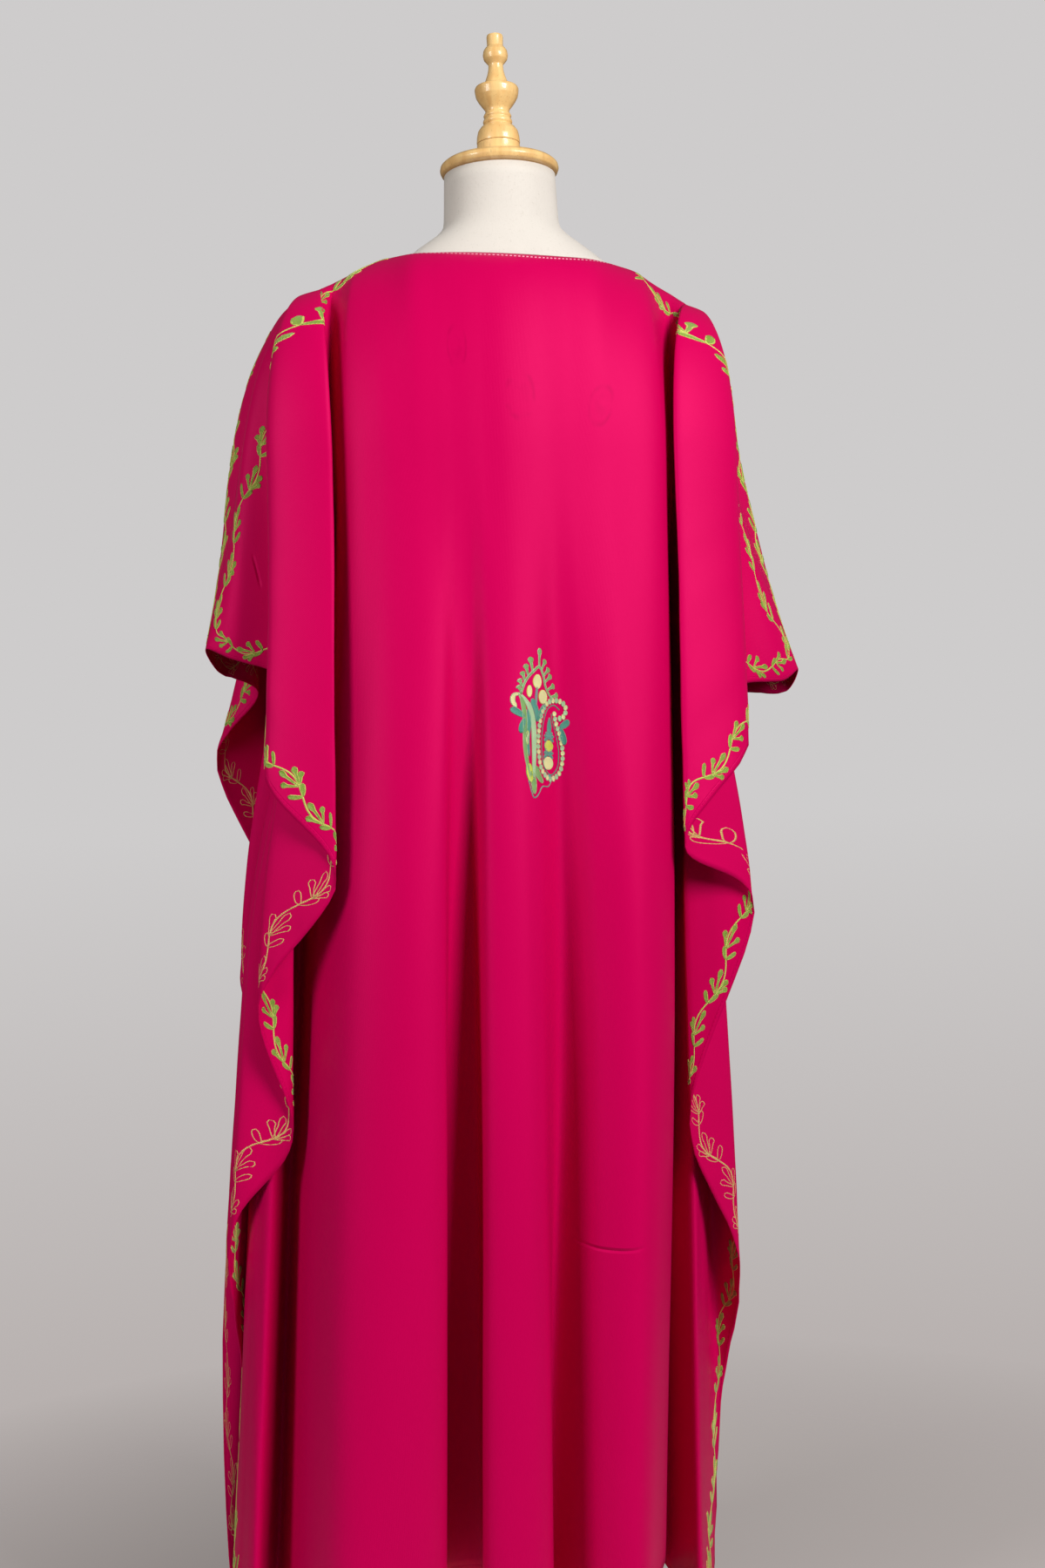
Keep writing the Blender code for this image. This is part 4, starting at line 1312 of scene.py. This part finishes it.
@dataclass
class DressForm:
    """The limbless torso in cream linen."""

    segments: int = 72
    between: int = 3
    sections: tuple[tuple[float, float, float, float], ...] = (
        (0.764, 0.092, 0.066, -0.004), (0.772, 0.120, 0.088, -0.004),
        (0.795, 0.132, 0.098, -0.004), (0.870, 0.138, 0.102, -0.006),
        (0.960, 0.134, 0.096, -0.006), (1.060, 0.118, 0.082, -0.006),
        (1.140, 0.128, 0.092, -0.010), (1.220, 0.142, 0.110, -0.014),
        (1.300, 0.147, 0.102, -0.008), (1.370, 0.163, 0.089, 0.000),
        (1.410, 0.178, 0.076, 0.002), (1.428, 0.177, 0.069, 0.002),
        (1.442, 0.168, 0.066, 0.002), (1.456, 0.152, 0.064, 0.002),
        (1.470, 0.133, 0.064, 0.003), (1.485, 0.1148, 0.0653, 0.003),
        (1.504, 0.090, 0.061, 0.002), (1.524, 0.064, 0.058, 0.000),
        (1.544, 0.0595, 0.056, 0.000), (1.583, 0.058, 0.056, 0.000))

    def build(self, linen: bpy.types.Material) -> bpy.types.Object:
        """Lofts the torso through its sections and closes both ends."""
        work = bmesh.new()
        rings = []
        table = self.sections
        for index in range(len(table) - 1):
            rows = [table[max(index - 1, 0)], table[index], table[index + 1],
                    table[min(index + 2, len(table) - 1)]]
            for step in range(self.between):
                t = step / self.between
                smooth = 0 < index < len(table) - 2
                rings.append([catmull(*(row[i] for row in rows), t) if smooth
                              else rows[1][i] + (rows[2][i] - rows[1][i]) * t for i in range(4)])
        rings.append(list(table[-1]))
        edges = []
        for height, half_x, half_y, centre in rings:
            place = Matrix.Translation((0.0, centre, height)) @ Matrix.Diagonal(
                (half_x, half_y, 1.0, 1.0))
            ring = bmesh.ops.create_circle(work, segments=self.segments, radius=1.0,
                                           matrix=place)["verts"]
            edges.append(list({edge for vert in ring for edge in vert.link_edges}))
        for low, high in zip(edges, edges[1:]):
            bmesh.ops.bridge_loops(work, edges=low + high)
        bmesh.ops.contextual_create(work, geom=edges[0])
        bmesh.ops.contextual_create(work, geom=edges[-1])
        bmesh.ops.recalc_face_normals(work, faces=work.faces)
        for face in work.faces:
            face.smooth = len(face.verts) == 4
        piece = finish_piece("dress_form", work, (linen,))
        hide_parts("form_torso")
        return piece


@dataclass
class Turning:
    """A turned wooden piece, from its outline of radius and height, top to bottom."""

    name: str
    node: str
    outline: tuple[tuple[float, float], ...]
    steps: int = 72
    sharp: float = 38.0

    def build(self, wood: bpy.types.Material) -> bpy.types.Object:
        """Spins the outline about the upright axis."""
        work = bmesh.new()
        verts = [work.verts.new((radius, 0.0, height)) for radius, height in self.outline]
        for pair in zip(verts, verts[1:]):
            work.edges.new(pair)
        bmesh.ops.bevel(work, geom=verts[2:-2], offset=0.0006, affect="VERTICES", segments=2,
                        profile=0.5, material=-1)
        bmesh.ops.spin(work, geom=work.verts[:] + work.edges[:], cent=(0.0, 0.0, 0.0),
                       axis=(0.0, 0.0, 1.0), angle=2.0 * math.pi, steps=self.steps,
                       use_merge=True)
        bmesh.ops.remove_doubles(work, verts=work.verts, dist=0.00002)
        bmesh.ops.recalc_face_normals(work, faces=work.faces)
        for face in work.faces:
            face.smooth = True
        piece = finish_piece(self.name, work, (wood,))
        piece.data.set_sharp_from_angle(angle=math.radians(self.sharp))
        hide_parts(self.node)
        return piece


def stand_pieces() -> tuple[Turning, ...]:
    """The cap, finial, pole and base, in the outlines of the solids."""
    return (
        Turning("neck_disc", "neck_cap", (
            (0.0, 1.6170), (0.0222, 1.6168), (0.0226, 1.6120), (0.0232, 1.6060),
            (0.0250, 1.6015), (0.0300, 1.5995), (0.0450, 1.5985), (0.0575, 1.5965),
            (0.0612, 1.5935), (0.0620, 1.5900), (0.0605, 1.5862), (0.0570, 1.5840),
            (0.0, 1.5834))),
        Turning("turned_finial", "finial", (
            (0.0, 1.7310), (0.0080, 1.7308), (0.0086, 1.7290), (0.0083, 1.7190),
            (0.0100, 1.7178), (0.0123, 1.7144), (0.0131, 1.7099), (0.0122, 1.7054),
            (0.0092, 1.7018), (0.0076, 1.7000), (0.0079, 1.6949), (0.0093, 1.6889),
            (0.0110, 1.6843), (0.0126, 1.6798), (0.0155, 1.6782), (0.0218, 1.6764),
            (0.0230, 1.6738), (0.0226, 1.6702), (0.0218, 1.6663), (0.0194, 1.6618),
            (0.0161, 1.6573), (0.0131, 1.6534), (0.0121, 1.6503), (0.0136, 1.6484),
            (0.0147, 1.6461), (0.0132, 1.6440), (0.0149, 1.6419), (0.0154, 1.6395),
            (0.0134, 1.6371), (0.0176, 1.6345), (0.0208, 1.6302), (0.0221, 1.6241),
            (0.0226, 1.6184), (0.0222, 1.6174), (0.0, 1.6174))),
        Turning("stand_pole", "pole", (
            (0.0, 0.7636), (0.0145, 0.7636), (0.0145, 0.0500), (0.0180, 0.0460),
            (0.0200, 0.0400), (0.0200, 0.0344), (0.0, 0.0344))),
        Turning("round_base", "base", (
            (0.0, 0.0340), (0.0300, 0.0340), (0.0420, 0.0330), (0.0520, 0.0300),
            (0.1000, 0.0270), (0.1550, 0.0250), (0.1750, 0.0235), (0.1830, 0.0200),
            (0.1850, 0.0150), (0.1850, 0.0050), (0.1820, 0.0), (0.0, 0.0))))


@dataclass
class Studio:
    """Pale floor, pale backdrop with painted shade towards its foot, soft lights and the camera at
    the photo's angle.
    """

    distance: float = 1.97
    focal_px: float = 2169.0
    yaw: float = 9.0
    roll: float = 2.0
    height: float = 0.95
    shift_px: float = 2.0
    backdrop_high: Colour = paint(206, 204, 204)
    # The lower tone is painted shade: the backdrop the camera sees darkens towards the bottom.
    backdrop_shaded_low: Colour = paint(172, 162, 159)
    ambient: float = 0.08

    def build(self) -> None:
        """Makes the floor, the backdrop, the lights and the camera."""
        self.build_floor()
        self.build_backdrop()
        self.build_light("key light", (-1.35, 2.15, 2.20), (1.0, 1.4), 86.0)
        self.build_light("fill light", (2.20, 1.45, 1.80), (0.8, 1.6), 36.0)
        self.build_camera()
        bpy.context.scene.view_settings.view_transform = "Standard"

    def build_floor(self) -> None:
        """Makes the round floor."""
        work = bmesh.new()
        bmesh.ops.create_circle(work, cap_ends=True, segments=96, radius=7.0)
        mesh = bpy.data.meshes.new("floor")
        work.to_mesh(mesh)
        work.free()
        mesh.materials.append(FloorFinish().build())
        floor = bpy.data.objects.new("floor", mesh)
        bpy.context.scene.collection.objects.link(floor)

    def build_backdrop(self) -> None:
        """Makes the surroundings: the backdrop's tone, painted darker towards the bottom as painted
        shade, and a weaker glow for the light.
        """
        world = bpy.data.worlds.new("studio")
        world.use_nodes = True
        bpy.context.scene.world = world
        tree = world.node_tree
        tree.nodes.clear()
        place = tree.nodes.new("ShaderNodeTexCoord")
        parts = tree.nodes.new("ShaderNodeSeparateXYZ")
        # Below the horizon the seen backdrop blends to the lower tone: painted shade, darker
        # towards the bottom.
        slope = tree.nodes.new("ShaderNodeMapRange")
        slope.inputs["From Min"].default_value = -0.42
        slope.inputs["From Max"].default_value = -0.02
        tone = tree.nodes.new("ShaderNodeMix")
        tone.data_type = "RGBA"
        tone.inputs[6].default_value = (*self.backdrop_shaded_low, 1.0)
        tone.inputs[7].default_value = (*self.backdrop_high, 1.0)
        seen = tree.nodes.new("ShaderNodeBackground")
        glow = tree.nodes.new("ShaderNodeBackground")
        glow.inputs["Color"].default_value = (1.0, 0.98, 0.96, 1.0)
        glow.inputs["Strength"].default_value = self.ambient
        path = tree.nodes.new("ShaderNodeLightPath")
        mix = tree.nodes.new("ShaderNodeMixShader")
        end = tree.nodes.new("ShaderNodeOutputWorld")
        for source, target in (
                (place.outputs["Generated"], parts.inputs[0]),
                (parts.outputs[2], slope.inputs["Value"]),
                (slope.outputs[0], tone.inputs[0]), (tone.outputs[2], seen.inputs["Color"]),
                (path.outputs["Is Camera Ray"], mix.inputs[0]),
                (glow.outputs[0], mix.inputs[1]), (seen.outputs[0], mix.inputs[2]),
                (mix.outputs[0], end.inputs["Surface"])):
            tree.links.new(source, target)

    def build_light(self, name: str, place: tuple[float, float, float],
                    size: tuple[float, float], power: float) -> None:
        """Makes one soft box that faces the middle of the garment."""
        light = bpy.data.lights.new(name, "AREA")
        light.shape = "RECTANGLE"
        light.size, light.size_y = size
        light.energy = power
        lamp = bpy.data.objects.new(name, light)
        lamp.location = place
        aim = Vector((0.0, 0.0, 0.95)) - Vector(place)
        lamp.rotation_euler = aim.to_track_quat("-Z", "Y").to_euler()
        bpy.context.scene.collection.objects.link(lamp)

    def build_camera(self) -> None:
        """Makes the camera, level and turned to the back of the garment."""
        turn, tilt = math.radians(self.yaw), math.radians(self.roll)
        ahead = Vector((-math.sin(turn), -math.cos(turn), 0.0))
        right = Vector((-math.cos(turn), math.sin(turn), 0.0))
        up = Vector((0.0, 0.0, 1.0))
        place = (-ahead * self.distance + up * self.height
                 + right * (self.shift_px / self.focal_px * self.distance))
        camera = bpy.data.cameras.new("camera")
        camera.sensor_width = 36.0
        camera.lens = 36.0 * self.focal_px / 1800.0
        view = bpy.data.objects.new("camera", camera)
        side = right * math.cos(tilt) - up * math.sin(tilt)
        top = right * math.sin(tilt) + up * math.cos(tilt)
        view.matrix_world = Matrix((
            (side.x, top.x, -ahead.x, place.x), (side.y, top.y, -ahead.y, place.y),
            (side.z, top.z, -ahead.z, place.z), (0.0, 0.0, 0.0, 1.0)))
        bpy.context.scene.collection.objects.link(view)
        bpy.context.scene.camera = view


@dataclass
class Kaftan:
    """The two panels and their embroidery."""

    drape: Drape = field(default_factory=Drape)
    back_vine: Vine = field(default_factory=lambda: Vine(left=(
        (0.141, 0.013), (0.185, 0.024), (0.225, 0.044), (0.258, 0.060), (0.295, 0.066),
        (0.330, 0.060), (0.370, 0.050), (0.420, 0.039), (0.480, 0.028), (0.540, 0.021)),
        right=((0.141, 0.036), (0.185, 0.040), (0.235, 0.051), (0.286, 0.064),
               (0.318, 0.064), (0.360, 0.046), (0.420, 0.040), (0.470, 0.044),
               (0.530, 0.038))))
    front_vine: Vine = field(default_factory=Vine)
    motif: Paisley = field(default_factory=Paisley)
    colour: Colour = paint(212, 0, 88)
    deep: Colour = paint(190, 0, 74)
    sheen: Colour = paint(255, 60, 140)
    presses: tuple[Press, ...] = (
        Press(0.064, 0.122, 0.012, 0.024), Press(-0.005, 0.165, 0.016, 0.026),
        Press(-0.094, 0.173, 0.013, 0.022), Press(0.052, 0.475, 0.008, 0.010))
    ridges: tuple[Ridge, ...] = (
        Ridge((-0.140, 0.990), (-0.206, 0.998), 0.0026, -9.0),
        Ridge((0.488, 0.062), (0.520, 0.083), 0.0024, -7.0))

    def build(self) -> list[bpy.types.Object]:
        right = ClothFinish("magenta crepe", self.colour, self.deep, self.sheen, 0.46, True,
                            self.presses, self.ridges)
        wrong = ClothFinish("magenta crepe wrong side", self.colour, self.deep, self.sheen,
                            0.60, False)
        materials = right.build(), wrong.build()
        pieces = []
        for name, node, side, folds, others, area in (
                ("kaftan_back", "back_panel", Side.BACK, BACK_FOLDS, FRONT_FOLDS, 1.619),
                ("kaftan_front", "front_panel", Side.FRONT, FRONT_FOLDS, BACK_FOLDS, 1.595)):
            panel = Panel(name, side, folds, others, self.drape)
            cloth = panel.build(*materials)
            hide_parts(node)
            trims = self.embroider(panel)
            pieces += [cloth, *trims]
        return pieces

    def embroider(self, panel: Panel) -> list[bpy.types.Object]:
        """Works the embroidery of one panel, on both sides of its cloth."""
        short = panel.side.name.lower()
        vine = self.back_vine if panel.side is Side.BACK else self.front_vine
        needle = Needle(panel)
        vine.work(needle)
        trims = [needle.finish(f"vine_{short}")]
        needle = Needle(panel, right_side=False, height=0.0003, rim=0.0013)
        vine.work(needle)
        trims.append(needle.finish(f"vine_{short}_wrong_side"))
        needle = Needle(panel, height=0.0008)
        if panel.side is Side.BACK:
            self.motif.work(needle)
        else:
            ShoulderSprig().work(needle)
        trims.append(needle.finish(f"motif_{short}"))
        return trims


def main() -> None:
    """Builds the dressed form, the studio and the camera."""
    logging.basicConfig(level=logging.INFO, format="%(name)s: %(message)s")
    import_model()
    Studio().build()
    pieces = Kaftan().build()
    pieces.append(DressForm().build(LinenFinish().build()))
    wood = WoodFinish().build()
    pieces += [turning.build(wood) for turning in stand_pieces()]
    log.info("%d pieces", len(pieces))


if __name__ == "__main__":
    main()
